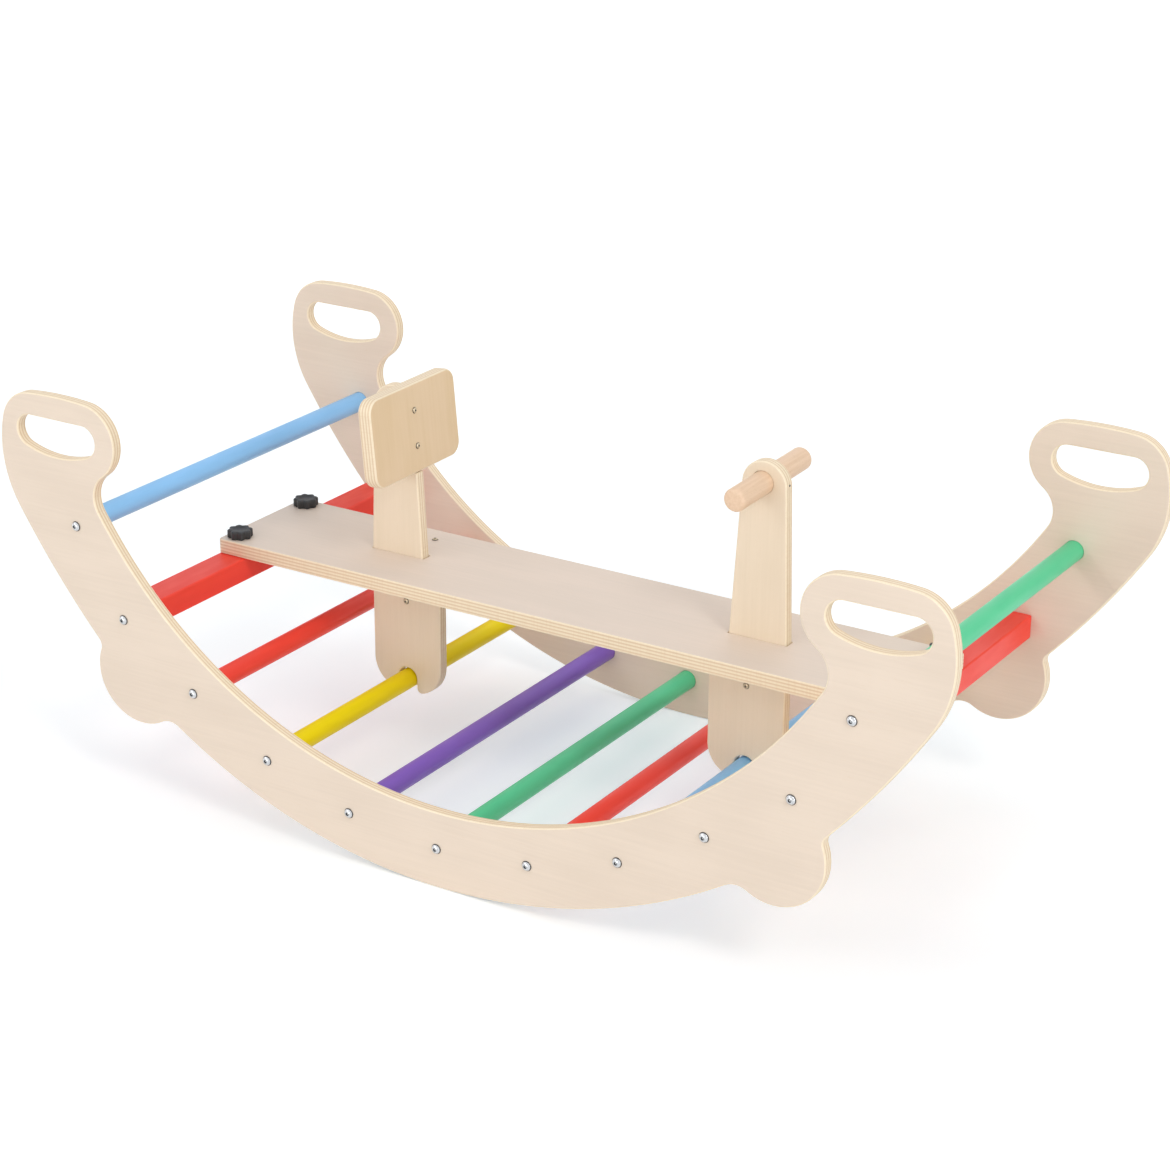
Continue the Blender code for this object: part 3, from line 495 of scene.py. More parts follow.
def angle_from(centre: Vector, point: Vector) -> float:
    """Return the direction from a centre to a point."""
    return math.atan2(point.y - centre.y, point.x - centre.x)


def arc(centre: Iterable[float], radius: float, start: float, end: float, turn: int = 1) -> Loop:
    """Return points of an arc, both ends included.

    Args:
        centre: The arc's centre.
        radius: Its radius.
        start: The angle that it starts at.
        end: The angle that it ends at.
        turn: 1 for anticlockwise and -1 for clockwise.

    Returns:
        Points close enough together that the arc looks round.
    """
    sweep = ((end - start) * turn) % math.tau
    step = min(ARC_STEP_ANGLE, 2 * math.acos(1 - ARC_SAGITTA / radius))
    count = max(1, math.ceil(sweep / step))
    return [point_at(centre, radius, start + turn * sweep * k / count) for k in range(count + 1)]


def circle(centre: Iterable[float], radius: float, sides: int) -> Loop:
    """Return a circle, anticlockwise."""
    return [point_at(centre, radius, math.tau * k / sides) for k in range(sides)]


def rounded_rectangle(width: float, height: float, corner: float) -> Loop:
    """Return a rectangle with round corners about the origin, anticlockwise.

    Args:
        width: Its size along X.
        height: Its size along Y.
        corner: The radius of its corners.

    Returns:
        The outline.
    """
    points = []
    for quarter, (sx, sy) in enumerate(((1, 1), (-1, 1), (-1, -1), (1, -1))):
        centre = (sx * (width / 2 - corner), sy * (height / 2 - corner))
        points += arc(centre, corner, quarter * math.pi / 2, (quarter + 1) * math.pi / 2)
    return points


def rectangle(left: float, right: float, bottom: float, top: float) -> Loop:
    """Return the four corners of a rectangle, anticlockwise."""
    return [Vector(corner) for corner in ((left, bottom), (right, bottom), (right, top), (left, top))]


def meeting_centre(
    first: Vector, second: Vector, first_reach: float, second_reach: float, side: int
) -> Vector:
    """Return the centre at two given distances from two other centres.

    Args:
        first: The first centre.
        second: The second centre.
        first_reach: The distance from the first.
        second_reach: The distance from the second.
        side: 1 for the centre to the left of the line from first to second, -1 for the one to its right.

    Returns:
        The centre.
    """
    span = second - first
    along = (first_reach**2 - second_reach**2 + span.length_squared) / (2 * span.length)
    aside = math.sqrt(first_reach**2 - along**2)
    unit = span.normalized()
    return first + along * unit + side * aside * Vector((-unit.y, unit.x))


def tangent_point(outside: Vector, centre: Vector, radius: float, side: int) -> Vector:
    """Return where a line from an outside point touches a circle.

    Args:
        outside: The point.
        centre: The circle's centre.
        radius: Its radius.
        side: 1 for the touch to the left of the centre, -1 for the one to its right.

    Returns:
        The touching point.
    """
    span = centre - outside
    direction = math.atan2(span.y, span.x) + side * math.asin(radius / span.length)
    return point_at(outside, math.sqrt(span.length_squared - radius**2), direction)


@dataclass(frozen=True)
class Bend:
    """One arc of a smooth outline: its centre, its radius and which way it turns."""

    centre: Vector
    radius: float
    turn: int

    def joint(self, following: "Bend") -> Vector:
        """Return where this arc meets the next one of a smooth chain.

        Args:
            following: The next arc.

        Returns:
            The point that both share.
        """
        toward = 1 if self.turn != following.turn or self.radius > following.radius else -1
        return self.centre + toward * self.radius * (following.centre - self.centre).normalized()


def inset(loop: Loop, distance: float) -> Loop:
    """Return a loop moved into the wood, which lies on its left.

    Args:
        loop: The outline of a piece anticlockwise, or of an opening clockwise.
        distance: How far to move it.

    Returns:
        The moved loop, point for point.
    """
    moved = []
    for before, here, after in zip(loop[-1:] + loop[:-1], loop, loop[1:] + loop[:1]):
        first = (here - before).normalized()
        second = (after - here).normalized()
        first_in = Vector((-first.y, first.x))
        second_in = Vector((-second.y, second.x))
        moved.append(here + distance * (first_in + second_in) / (1 + first_in.dot(second_in)))
    return moved


# Meshes


def quarter_round(radius: float) -> list[tuple[float, float]]:
    """Return the profile of a rounded edge.

    Args:
        radius: The rounding's radius, or zero for a sharp edge.

    Returns:
        How far in from the side and how far down from the face each of its points lies.
    """
    if radius == 0:
        return [(0.0, 0.0)]
    turns = [math.pi / 2 * k / EASE_STEPS for k in range(EASE_STEPS + 1)]
    return [(radius * (1 - math.sin(turn)), radius * (1 - math.cos(turn))) for turn in turns]


def eased_wall(loop: Loop, thickness: float, ease: float) -> Wall:
    """Return the wall round an outline, with both of its edges rounded over.

    Args:
        loop: The outline, with the wood on its left.
        thickness: The plank's thickness.
        ease: The radius of the rounding, or zero for sharp edges.

    Returns:
        Matching loops in space from the upper face to the lower.
    """
    upper = [(aside, thickness / 2 - down) for aside, down in quarter_round(ease)]
    levels = upper + [(aside, -height) for aside, height in reversed(upper)]
    return [[Vector((*point, height)) for point in inset(loop, aside)] for aside, height in levels]


def stepped_bore(centre: Iterable[float], levels: list[tuple[float, float]], sides: int) -> Wall:
    """Return the wall of a round bore.

    Args:
        centre: The bore's centre on the plank.
        levels: Its radius and height where it changes, from the upper face to the lower.
        sides: How many sides stand for its round.

    Returns:
        Matching loops in space from the upper face to the lower.
    """
    rounds = [(circle(centre, radius, sides)[::-1], height) for radius, height in levels]
    return [[Vector((*point, height)) for point in loop] for loop, height in rounds]


def plain_bore(centre: Iterable[float], radius: float, thickness: float, sides: int = BORE_SIDES) -> Wall:
    """Return the wall of a straight bore through a plank."""
    return stepped_bore(centre, [(radius, thickness / 2), (radius, -thickness / 2)], sides)


def mesh_of(solid: bmesh.types.BMesh, name: str) -> Mesh:
    """Turn an edit mesh into a mesh with outward faces and shading that is smooth across roundings.

    Args:
        solid: The edit mesh, which is freed.
        name: The mesh's name.

    Returns:
        The mesh.
    """
    bmesh.ops.recalc_face_normals(solid, faces=solid.faces)
    mesh = bpy.data.meshes.new(name)
    solid.to_mesh(mesh)
    solid.free()
    mesh.shade_smooth()
    mesh.set_sharp_from_angle(angle=SHARP_ANGLE)
    return mesh


def plank_mesh(name: str, walls: list[Wall]) -> Mesh:
    """Return a plank from its walls: the outline first, then its openings and bores.

    Args:
        name: The mesh's name.
        walls: Loops in space from the upper face to the lower, for each wall.

    Returns:
        A closed mesh.
    """
    solid = bmesh.new()
    rims = []
    for wall in walls:
        rings = [[solid.verts.new(point) for point in ring] for ring in wall]
        rims.append(rings)
        for upper, lower in zip(rings, rings[1:]):
            for k, corner in enumerate(upper):
                solid.faces.new((upper[k - 1], corner, lower[k], lower[k - 1]))
    for level in (0, -1):
        rim = [rings[level] for rings in rims]
        corners = [corner for ring in rim for corner in ring]
        for triangle in tessellate_polygon([[corner.co for corner in ring] for ring in rim]):
            solid.faces.new([corners[index] for index in triangle])
    return mesh_of(solid, name)


def round_shape(angle: float) -> float:
    """Return the share of the radius that a plain circle has at an angle."""
    return 1.0


@dataclass(frozen=True)
class Ring:
    """One level of a turned piece: its radius and height, the shape of its round and how much painted shade
    it gets.
    """

    radius: float
    height: float
    shape: Callable[[float], float] = round_shape
    # share of painted shade at this ring, 0 for none
    painted_shade: float = 0.0


def turned_mesh(name: str, rings: list[Ring], sides: int, closed: bool = False) -> Mesh:
    """Return a piece turned about Z.

    Args:
        name: The mesh's name.
        rings: Its levels in order along the profile. A radius of zero is a pole.
        sides: How many sides stand for its round.
        closed: True where the last ring joins the first, as on a pipe.

    Returns:
        A closed mesh.
    """
    solid = bmesh.new()
    # per-vertex share of painted shade, which the metal finish reads
    crevice = solid.verts.layers.float.new("crevice")
    levels = []
    for ring in rings:
        if ring.radius == 0:
            levels.append([solid.verts.new((0, 0, ring.height))] * sides)
            continue
        angles = [math.tau * k / sides for k in range(sides)]
        places = [point_at((0, 0), ring.radius * ring.shape(angle), angle) for angle in angles]
        levels.append([solid.verts.new((*place, ring.height)) for place in places])
        for corner in levels[-1]:
            corner[crevice] = ring.painted_shade
    for first, second in zip(levels, levels[1:] + levels[:1] if closed else levels[1:]):
        for k in range(sides):
            corners = dict.fromkeys((first[k - 1], first[k], second[k], second[k - 1]))
            solid.faces.new(list(corners))
    return mesh_of(solid, name)


def rounded_ends(radius: float, half: float, ease: float) -> list[Ring]:
    """Return the rings of a rod along Z with rounded ends.

    Args:
        radius: The rod's radius.
        half: Half of its length.
        ease: The radius of the rounding at its ends.

    Returns:
        Rings from its top pole to its bottom pole.
    """
    levels = [(0, half), *((radius - aside, half - down) for aside, down in quarter_round(ease))]
    return [Ring(r, z) for r, z in levels] + [Ring(r, -z) for r, z in reversed(levels)]


def evaluated_mesh(source: Object, name: str) -> Mesh:
    """Return what an object's modifiers make of it as a plain mesh, and remove the object.

    Args:
        source: The object with live modifiers.
        name: The new mesh's name.

    Returns:
        The plain mesh.
    """
    bpy.context.view_layer.update()
    graph = bpy.context.evaluated_depsgraph_get()
    result = source.evaluated_get(graph)
    mesh = bpy.data.meshes.new_from_object(result, preserve_all_data_layers=True, depsgraph=graph)
    mesh.name = name
    bpy.data.objects.remove(source, do_unlink=True)
    return mesh


def new_object(name: str, data: bpy.types.ID) -> Object:
    """Add an object to the scene.

    Args:
        name: Its name.
        data: Its mesh, camera or light.

    Returns:
        The object.
    """
    made = bpy.data.objects.new(name, data)
    bpy.context.scene.collection.objects.link(made)
    return made


def even_shading(mesh: Mesh) -> Mesh:
    """Return a mesh whose flat faces shade flat right up to their rounded edges.

    Args:
        mesh: A mesh with roundings.

    Returns:
        The mesh with weighted normals.
    """
    holder = new_object(mesh.name, mesh)
    weighting = holder.modifiers.new("Even shading", "WEIGHTED_NORMAL")
    weighting.mode = "FACE_AREA"
    weighting.weight = 100
    weighting.keep_sharp = True
    return evaluated_mesh(holder, mesh.name)


def planed_plank(name: str, walls: list[Wall], place: Matrix) -> Mesh:
    """Return a plank from its walls, shaded evenly and moved to its place.

    Args:
        name: The mesh's name.
        walls: Loops in space from the upper face to the lower, for each wall.
        place: Where the plank stands.

    Returns:
        A closed mesh.
    """
    mesh = even_shading(plank_mesh(name, walls))
    mesh.transform(place)
    return mesh


def show_piece(name: str, mesh: Mesh, finish: Finish, body: str, nodes: Iterable[str]) -> None:
    """Add a finished piece: dress it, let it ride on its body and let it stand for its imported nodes.

    Args:
        name: The piece's name.
        mesh: Its mesh, with its place in it.
        finish: What its surface is.
        body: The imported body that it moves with.
        nodes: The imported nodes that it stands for.
    """
    mesh.materials.clear()
    mesh.materials.append(finish.material())
    piece = new_object(name, mesh)
    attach(piece, body)
    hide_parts(*nodes)
    LOG.info("%s: %d faces, rides on %s", name, len(mesh.polygons), body)


# The arch's plan


@dataclass(frozen=True)
class ArchPlan:
    """The sizes that several sub-assemblies share."""

    length: float = 1.000
    height: float = 0.3936
    clear_width: float = 0.4427
    panel_thickness: float = 0.012
    web_depth: float = 0.0763
    neck_fillet: float = 0.0275
    neck_angle: float = math.radians(-54.7)
    corner_radius: float = 0.0378
    corner_spacing: float = 0.0624
    crown_radius: float = 0.391
    shoulder_radius: float = 0.1117
    shoulder_angle: float = math.radians(164.6)
    middle_inset: float = 0.0368
    end_inset: float = 0.0337
    end_step: int = 5
    beam_step: int = 4
    post_step: int = 2
    beam_outset: float = 0.010
    beam_width: float = 0.032
    beam_height: float = 0.024
    rung_radius: float = 0.010
    board_width: float = 0.138
    board_thickness: float = 0.015
    post_thickness: float = 0.012
    leg_width: float = 0.0804
    post_root_width: float = 0.0615
    screw_hole_radius: float = 0.00255
    knob_from_edge: float = 0.015

    @property
    def inner_face(self) -> float:
        """Distance of a panel's inner face from the middle."""
        return self.clear_width / 2

    @property
    def outer_face(self) -> float:
        """Distance of a panel's outer face from the middle."""
        return self.inner_face + self.panel_thickness

    @property
    def outer_corner(self) -> Vector:
        """Work out the left head's outer corner.

        Returns:
            The corner's centre.
        """
        reach = self.crown_radius - self.corner_radius
        up = self.height - self.crown_radius + math.sqrt(reach**2 - (self.corner_spacing / 2) ** 2)
        shoulder_reach = self.shoulder_radius - self.corner_radius
        x = self.shoulder_radius - self.length / 2 + shoulder_reach * math.cos(self.shoulder_angle)
        return Vector((x, up))

    @property
    def inner_corner(self) -> Vector:
        """Centre of the left head's inner corner."""
        return self.outer_corner + Vector((self.corner_spacing, 0))

    @property
    def neck(self) -> Vector:
        """Centre of the left neck's fillet."""
        return point_at(self.inner_corner, self.corner_radius + self.neck_fillet, self.neck_angle)

    @property
    def inner_radius(self) -> float:
        """Radius of the panel's inner edge, which runs smoothly into the neck."""
        rise = self.neck.y - self.web_depth
        return (self.neck.x**2 + rise**2 - self.neck_fillet**2) / (2 * (rise - self.neck_fillet))

    @property
    def inner_centre(self) -> Vector:
        """Centre of the panel's inner edge."""
        return Vector((0, self.web_depth + self.inner_radius))

    @property
    def swing(self) -> float:
        """Angle from the middle rung to an end rung, about the inner edge's centre."""
        return math.atan2(-self.neck.x, self.inner_centre.y - self.neck.y)

    def member(self, step: float, outset: float = 0.0) -> Vector:
        """Return X and Z of a rung or beam.

        Args:
            step: Its place, counted from the middle rung.
            outset: How much further out than the rungs it lies.

        Returns:
            Its centre.
        """
        share = step / self.end_step
        aside = self.middle_inset + (self.end_inset - self.middle_inset) * share**2
        reach = self.inner_radius + aside + outset
        return point_at(self.inner_centre, reach, share * self.swing - math.pi / 2)

    @property
    def steps(self) -> range:
        """The steps of all rungs and beams, from the rear to the front."""
        return range(-self.end_step, self.end_step + 1)

    def screw_spot(self, step: int) -> Vector:
        """Return X and Z of the screw into the rung or beam at a step."""
        return self.member(step, self.beam_outset if abs(step) == self.beam_step else 0.0)

    @property
    def beam(self) -> Vector:
        """X and Z of the front beam's centre."""
        return self.member(self.beam_step, self.beam_outset)

    @property
    def leg(self) -> Vector:
        """X and Z of the rung that the front leg straddles."""
        return self.member(self.post_step)

    @property
    def beam_top(self) -> float:
        """Height of the beams' upper faces."""
        return self.beam.y + self.beam_height / 2

    @property
    def board_underside(self) -> float:
        """Height of the seat board's underside."""
        return self.beam_top + TOUCH_GAP

    @property
    def board_top(self) -> float:
        """Height of the seat board's upper face."""
        return self.board_underside + self.board_thickness

    @property
    def knob_spacing(self) -> float:
        """Distance between the two knobs of a pair."""
        return self.board_width - 2 * self.knob_from_edge


def upright(x: float, y: float, z: float) -> Matrix:
    """Return the place of a plank drawn in XY that stands in the XZ plane with its upper face towards -Y."""
    return Matrix.Translation((x, y, z)) @ Matrix.Rotation(math.pi / 2, 4, "X")


# Side panels


@dataclass(frozen=True)
class SidePanels:
    """The two rocker panels: a chain of tangent arcs, cut from plywood, with a hand slot in each head."""

    plan: ArchPlan
    runner_radius: float = 0.557
    flank_radius: float = 0.8274
    heel_fillet: float = 0.0095
    heel_angle: float = math.radians(159.7)
    foot_radius: float = 0.0496
    foot_from_end: float = 0.1565
    foot_proud: float = 0.0408
    toe_fillet: float = 0.0204
    slot_from_end: float = 0.0696
    slot_length: float = 0.0943
    slot_end_radius: float = 0.0154
    slot_bow_radius: float = 0.1074
    grip_depth: float = 0.0238
    socket_radius: float = 0.0103
    socket_depth: float = 0.007
    ease: float = 0.0022
    plies: int = 7
    seed: float = 20.0

    def left_bends(self) -> list[Bend]:
        """Return the arcs of the left half.

        Returns:
            The arcs from the inner edge's middle, over the head, to the runner's middle.
        """
        plan = self.plan
        outer, inner = plan.outer_corner, plan.inner_corner
        crown_reach = plan.crown_radius - plan.corner_radius
        crown = meeting_centre(inner, outer, crown_reach, crown_reach, 1)
        shoulder = point_at(outer, plan.corner_radius - plan.shoulder_radius, plan.shoulder_angle)
        foot_x = self.foot_from_end - plan.length / 2
        foot_reach = self.runner_radius + self.foot_proud - self.foot_radius
        foot = Vector((foot_x, self.runner_radius - math.sqrt(foot_reach**2 - foot_x**2)))
        heel = point_at(foot, self.foot_radius + self.heel_fillet, self.heel_angle)
        to_shoulder, to_heel = self.flank_radius - plan.shoulder_radius, self.flank_radius + self.heel_fillet
        flank = meeting_centre(shoulder, heel, to_shoulder, to_heel, 1)
        runner = Vector((0, self.runner_radius))
        to_foot, to_runner = self.foot_radius + self.toe_fillet, self.runner_radius + self.toe_fillet
        toe = meeting_centre(foot, runner, to_foot, to_runner, -1)
        return [
            Bend(plan.inner_centre, plan.inner_radius, -1),
            Bend(plan.neck, plan.neck_fillet, -1),
            Bend(inner, plan.corner_radius, 1),
            Bend(crown, plan.crown_radius, 1),
            Bend(outer, plan.corner_radius, 1),
            Bend(shoulder, plan.shoulder_radius, 1),
            Bend(flank, self.flank_radius, 1),
            Bend(heel, self.heel_fillet, -1),
            Bend(foot, self.foot_radius, 1),
            Bend(toe, self.toe_fillet, -1),
            Bend(runner, self.runner_radius, 1),
        ]

    def outline(self) -> Loop:
        """Join the arcs of the left half and mirror them.

        Returns:
            The whole outline, anticlockwise.
        """
        bends = self.left_bends()
        joints = [first.joint(second) for first, second in zip(bends, bends[1:])]
        top = Vector((0, self.plan.web_depth))
        bottom = Vector((0, 0))
        points = []
        for bend, *ends in zip(bends, [top, *joints], [*joints, bottom]):
            start, end = (angle_from(bend.centre, point) for point in ends)
            points += arc(bend.centre, bend.radius, start, end, bend.turn)[:-1]
        half = [*points, bottom]
        return half + [Vector((-p.x, p.y)) for p in reversed(half[1:-1])]

    def hand_slot(self, end: End) -> Loop:
        """Return one hand slot: a flat grip above, round ends and a bowed floor.

        Args:
            end: The head that it is in.

        Returns:
            The slot's outline, clockwise.
        """
        middle = end.value * (self.plan.length / 2 - self.slot_from_end)
        out = self.slot_length / 2 - self.slot_end_radius
        up = self.plan.height - self.grip_depth - self.slot_end_radius
        bow = Vector((middle, up + math.sqrt((self.slot_bow_radius - self.slot_end_radius) ** 2 - out**2)))
        left, right = Vector((middle - out, up)), Vector((middle + out, up))
        to_left, to_right = angle_from(bow, left), angle_from(bow, right)
        slot = arc(left, self.slot_end_radius, math.pi / 2, to_left)
        slot += arc(bow, self.slot_bow_radius, to_left, to_right)[1:-1]
        slot += arc(right, self.slot_end_radius, to_right, math.pi / 2)
        return slot[::-1]

    def bores(self) -> list[Wall]:
        """Set out the holes along the web, from the rear to the front.

        Returns:
            The walls of the rungs' stepped sockets and the beams' screw holes.
        """
        half = self.plan.panel_thickness / 2
        floor = self.socket_depth - half
        hole, sides = self.plan.screw_hole_radius, BORE_SIDES * 2
        stepped = [(hole, half), (hole, floor), (self.socket_radius, floor), (self.socket_radius, -half)]
        walls = []
        for step in self.plan.steps:
            centre = self.plan.screw_spot(step)
            if abs(step) == self.plan.beam_step:
                walls.append(plain_bore(centre, hole, 2 * half, sides))
            else:
                walls.append(stepped_bore(centre, stepped, sides))
        return walls

    def build(self) -> None:
        """Build and dress both panels; the far one is the near one turned round."""
        thickness = self.plan.panel_thickness
        slots = [self.hand_slot(end) for end in End]
        walls = [eased_wall(loop, thickness, self.ease) for loop in (self.outline(), *slots)]
        middle = self.plan.inner_face + thickness / 2
        for side in Side:
            turned = Matrix.Rotation(0 if side is Side.NEAR else math.pi, 4, "Z")
            place = Matrix.Translation((0, side.value * middle, 0)) @ turned @ upright(0, 0, 0)
            mesh = planed_plank("side_panel", walls + self.bores(), place)
            name, node = side.name.lower(), f"side_panel_{side.name.lower()}"
            veneer = f"birch_plywood_{name}_panel"
            wood = BirchPlywood(veneer, place, thickness, self.plies, self.seed * side.value)
            show_piece(f"{name}_rocker_panel", mesh, wood, Body.FRAME.value, [node])


# Rungs and beams


def modifier_input(holder: Object, tree: Tree, values: dict) -> None:
    """Give an object a Geometry Nodes modifier with its inputs.

    Args:
        holder: The object.
        tree: The tree.
        values: Value for each input, by its name.
    """
    modifier = holder.modifiers.new(tree.name, "NODES")
    modifier.node_group = tree
    for socket in tree.interface.items_tree:
        if socket.in_out == "INPUT" and socket.name in values:
            modifier[socket.identifier] = values[socket.name]


def new_geometry_tree(name: str, inputs: dict[str, str]) -> tuple[Tree, bpy.types.NodeOutputs]:
    """Start a Geometry Nodes tree.

    Args:
        name: The tree's name.
        inputs: Socket type for each named input between the geometry and the finish.

    Returns:
        The tree and the outputs of its Group Input node.
    """
    tree = bpy.data.node_groups.new(name, "GeometryNodeTree")
    ends = {"Geometry": "NodeSocketGeometry"}
    for title, kind in (ends | inputs | {"Finish": "NodeSocketMaterial"}).items():
        tree.interface.new_socket(title, in_out="INPUT", socket_type=kind)
    for title, kind in ends.items():
        tree.interface.new_socket(title, in_out="OUTPUT", socket_type=kind)
    return tree, tree.nodes.new("NodeGroupInput").outputs


def end_geometry_tree(tree: Tree, geometry: Source, finish: Socket) -> None:
    """End a Geometry Nodes tree in Realize Instances and Set Material.

    Args:
        tree: The tree.
        geometry: What feeds its geometry.
        finish: The output with its material.
    """
    real = add_node(tree, "GeometryNodeRealizeInstances", (geometry,))
    dressed = add_node(tree, "GeometryNodeSetMaterial", {"Geometry": real, "Material": finish})
    add_node(tree, "NodeGroupOutput", (dressed,))


@dataclass(frozen=True)
class Rungs:
    """The nine painted dowels, set by even steps along the inner edge of the panels."""

    plan: ArchPlan
    socket_depth: float = 0.007
    ease: float = 0.0008

    def paints(self) -> dict[int, tuple[PaintedBeech, str]]:
        """Choose the paints.

        Returns:
            Each rung's paint and material slot, by its step from the middle.
        """
        return {
            -5: (BLUE_PAINT, "paint_blue"),
            -3: (RED_PAINT, "paint_red"),
            -2: (YELLOW_PAINT, "paint_yellow"),
            -1: (PURPLE_PAINT, "paint_purple"),
            0: (GREEN_PAINT, "paint_green"),
            1: (RED_PAINT, "paint_red"),
            2: (BLUE_PAINT, "paint_blue"),
            3: (YELLOW_PAINT, "paint_yellow"),
            5: (GREEN_PAINT, "paint_green"),
        }

    def tree(self) -> Tree:
        """Return the tree that swings a dowel to its step on the arch.

        Returns:
            A tree whose inputs are the arch's sizes, the step and the paint.
        """
        tree, value = new_geometry_tree("rung_on_its_step", dict.fromkeys(self.sizes(0), FLOAT))
        share = add_node(tree, MATH, (value["Step"], value["End Step"]), operation="DIVIDE")
        squared = add_node(tree, MATH, (share, 2.0), operation="POWER")
        change = add_node(tree, MATH, (value["End Inset"], value["Middle Inset"]), operation="SUBTRACT")
        aside = add_node(tree, MATH, (change, squared, value["Middle Inset"]), operation="MULTIPLY_ADD")
        reach = add_node(tree, MATH, (value["Inner Radius"], aside), operation="ADD")
        angle = add_node(tree, MATH, (share, value["Swing"]), operation="MULTIPLY")
        sine, cosine = (add_node(tree, MATH, (angle,), operation=kind) for kind in ("SINE", "COSINE"))
        along, down = (add_node(tree, MATH, (reach, part), operation="MULTIPLY") for part in (sine, cosine))
        height = add_node(tree, MATH, (value["Centre Height"], down), operation="SUBTRACT")
        spot = add_node(tree, "ShaderNodeCombineXYZ", {"X": along, "Z": height})
        point = add_node(tree, "GeometryNodePoints", {"Count": 1, "Position": spot})
        inputs = {"Points": point, "Instance": value["Geometry"]}
        end_geometry_tree(tree, add_node(tree, "GeometryNodeInstanceOnPoints", inputs), value["Finish"])
        return tree

    def sizes(self, step: int) -> dict[str, float]:
        """Return the tree's inputs for the rung at a step, apart from its paint.

        Args:
            step: The rung's place, counted from the middle.

        Returns:
            Value for each input.
        """
        plan = self.plan
        return {
            "Centre Height": plan.inner_centre.y,
            "Inner Radius": plan.inner_radius,
            "Middle Inset": plan.middle_inset,
            "End Inset": plan.end_inset,
            "Swing": plan.swing,
            "End Step": float(plan.end_step),
            "Step": float(step),
        }

    def build(self) -> None:
        """Build and dress the rungs."""
        half = self.plan.inner_face + self.socket_depth - TOUCH_GAP
        tree = self.tree()
        for number, (step, (paint, slot)) in enumerate(self.paints().items(), start=1):
            dowel = turned_mesh("dowel", rounded_ends(self.plan.rung_radius, half, self.ease), ROUND_SIDES)
            dowel.transform(Matrix.Rotation(math.pi / 2, 4, "X"))
            holder = new_object("dowel", dowel)
            modifier_input(holder, tree, self.sizes(step) | {"Finish": paint.material()})
            name = f"painted_rung_{number}"
            mesh = evaluated_mesh(holder, name)
            show_piece(name, mesh, paint, Body.FRAME.value, [f"rung_{number}"])


@dataclass(frozen=True)
class Beams:
    """The two square beams that the seat board rests on, with pockets for the knobs' inserts."""

    plan: ArchPlan
    ease: float = 0.002
    pocket_radius: float = 0.005
    pocket_depth: float = 0.014

    def build(self) -> None:
        """Build and dress both beams."""
        half = self.plan.inner_face - TOUCH_GAP
        height = self.plan.beam_height / 2
        floor = height - self.pocket_depth
        outline = rounded_rectangle(self.plan.beam_width, 2 * half, self.ease)
        walls = [eased_wall(outline, 2 * height, self.ease), *(self.pocket(side, floor) for side in Side)]
        for end in End:
            place = Matrix.Translation((end.value * self.plan.beam.x, 0, self.plan.beam.y))
            mesh = planed_plank("beam", walls, place)
            node = f"beam_{end.name.lower()}"
            show_piece(f"painted_{node}", mesh, RED_PAINT, Body.FRAME.value, [node])

    def pocket(self, side: Side, floor: float) -> Wall:
        """Return the wall of an insert's pocket, with a small hole on through the beam.

        Args:
            side: The side of the board that the knob is on.
            floor: The height of the pocket's floor.

        Returns:
            The wall's rings from the beam's top to its underside.
        """
        height = self.plan.beam_height / 2
        pilot = self.plan.screw_hole_radius
        levels = [(self.pocket_radius, height), (self.pocket_radius, floor), (pilot, floor), (pilot, -height)]
        return stepped_bore((0, side.value * self.plan.knob_spacing / 2), levels, BORE_SIDES)


# Seat board, posts, backrest, handlebar and cleats


@dataclass(frozen=True)
class SeatBoard:
    """The seat board with slots for the posts and holes for the studs and screws."""

    plan: ArchPlan
    corner: float = 0.004
    ease: float = 0.0010
    plies: int = 9
    stud_hole_radius: float = 0.0033
    screw_across: float = 0.0450
    seed: float = 5.0
    face: tuple = ("E9D8CA", "E4D4C6")

    def build(self) -> None:
        """Build and dress the board."""
        plan = self.plan
        thickness = plan.board_thickness
        length = 2 * plan.beam.x + plan.beam_width
        walls = [eased_wall(rounded_rectangle(length, plan.board_width, self.corner), thickness, self.ease)]
        slot_half = plan.post_thickness / 2 + TOUCH_GAP
        slot_out = plan.leg.x + plan.leg_width / 2 + TOUCH_GAP
        slot_in = slot_out - plan.post_root_width - 2 * TOUCH_GAP
        for end in End:
            low, high = sorted((end.value * slot_in, end.value * slot_out))
            walls.append(eased_wall(rectangle(low, high, -slot_half, slot_half)[::-1], thickness, 0))
            screw = (end.value * plan.leg.x, self.screw_across)
            walls.append(plain_bore(screw, plan.screw_hole_radius, thickness))
            for side in Side:
                stud = (end.value * plan.beam.x, side.value * plan.knob_spacing / 2)
                walls.append(plain_bore(stud, self.stud_hole_radius, thickness))
        place = Matrix.Translation((0, 0, plan.board_underside + thickness / 2))
        mesh = planed_plank("seat_board", walls, place)
        wood = BirchPlywood("birch_plywood_board", place, thickness, self.plies, self.seed, *self.face)
        show_piece("seat_plank", mesh, wood, Body.SEAT.value, ["seat_board"])


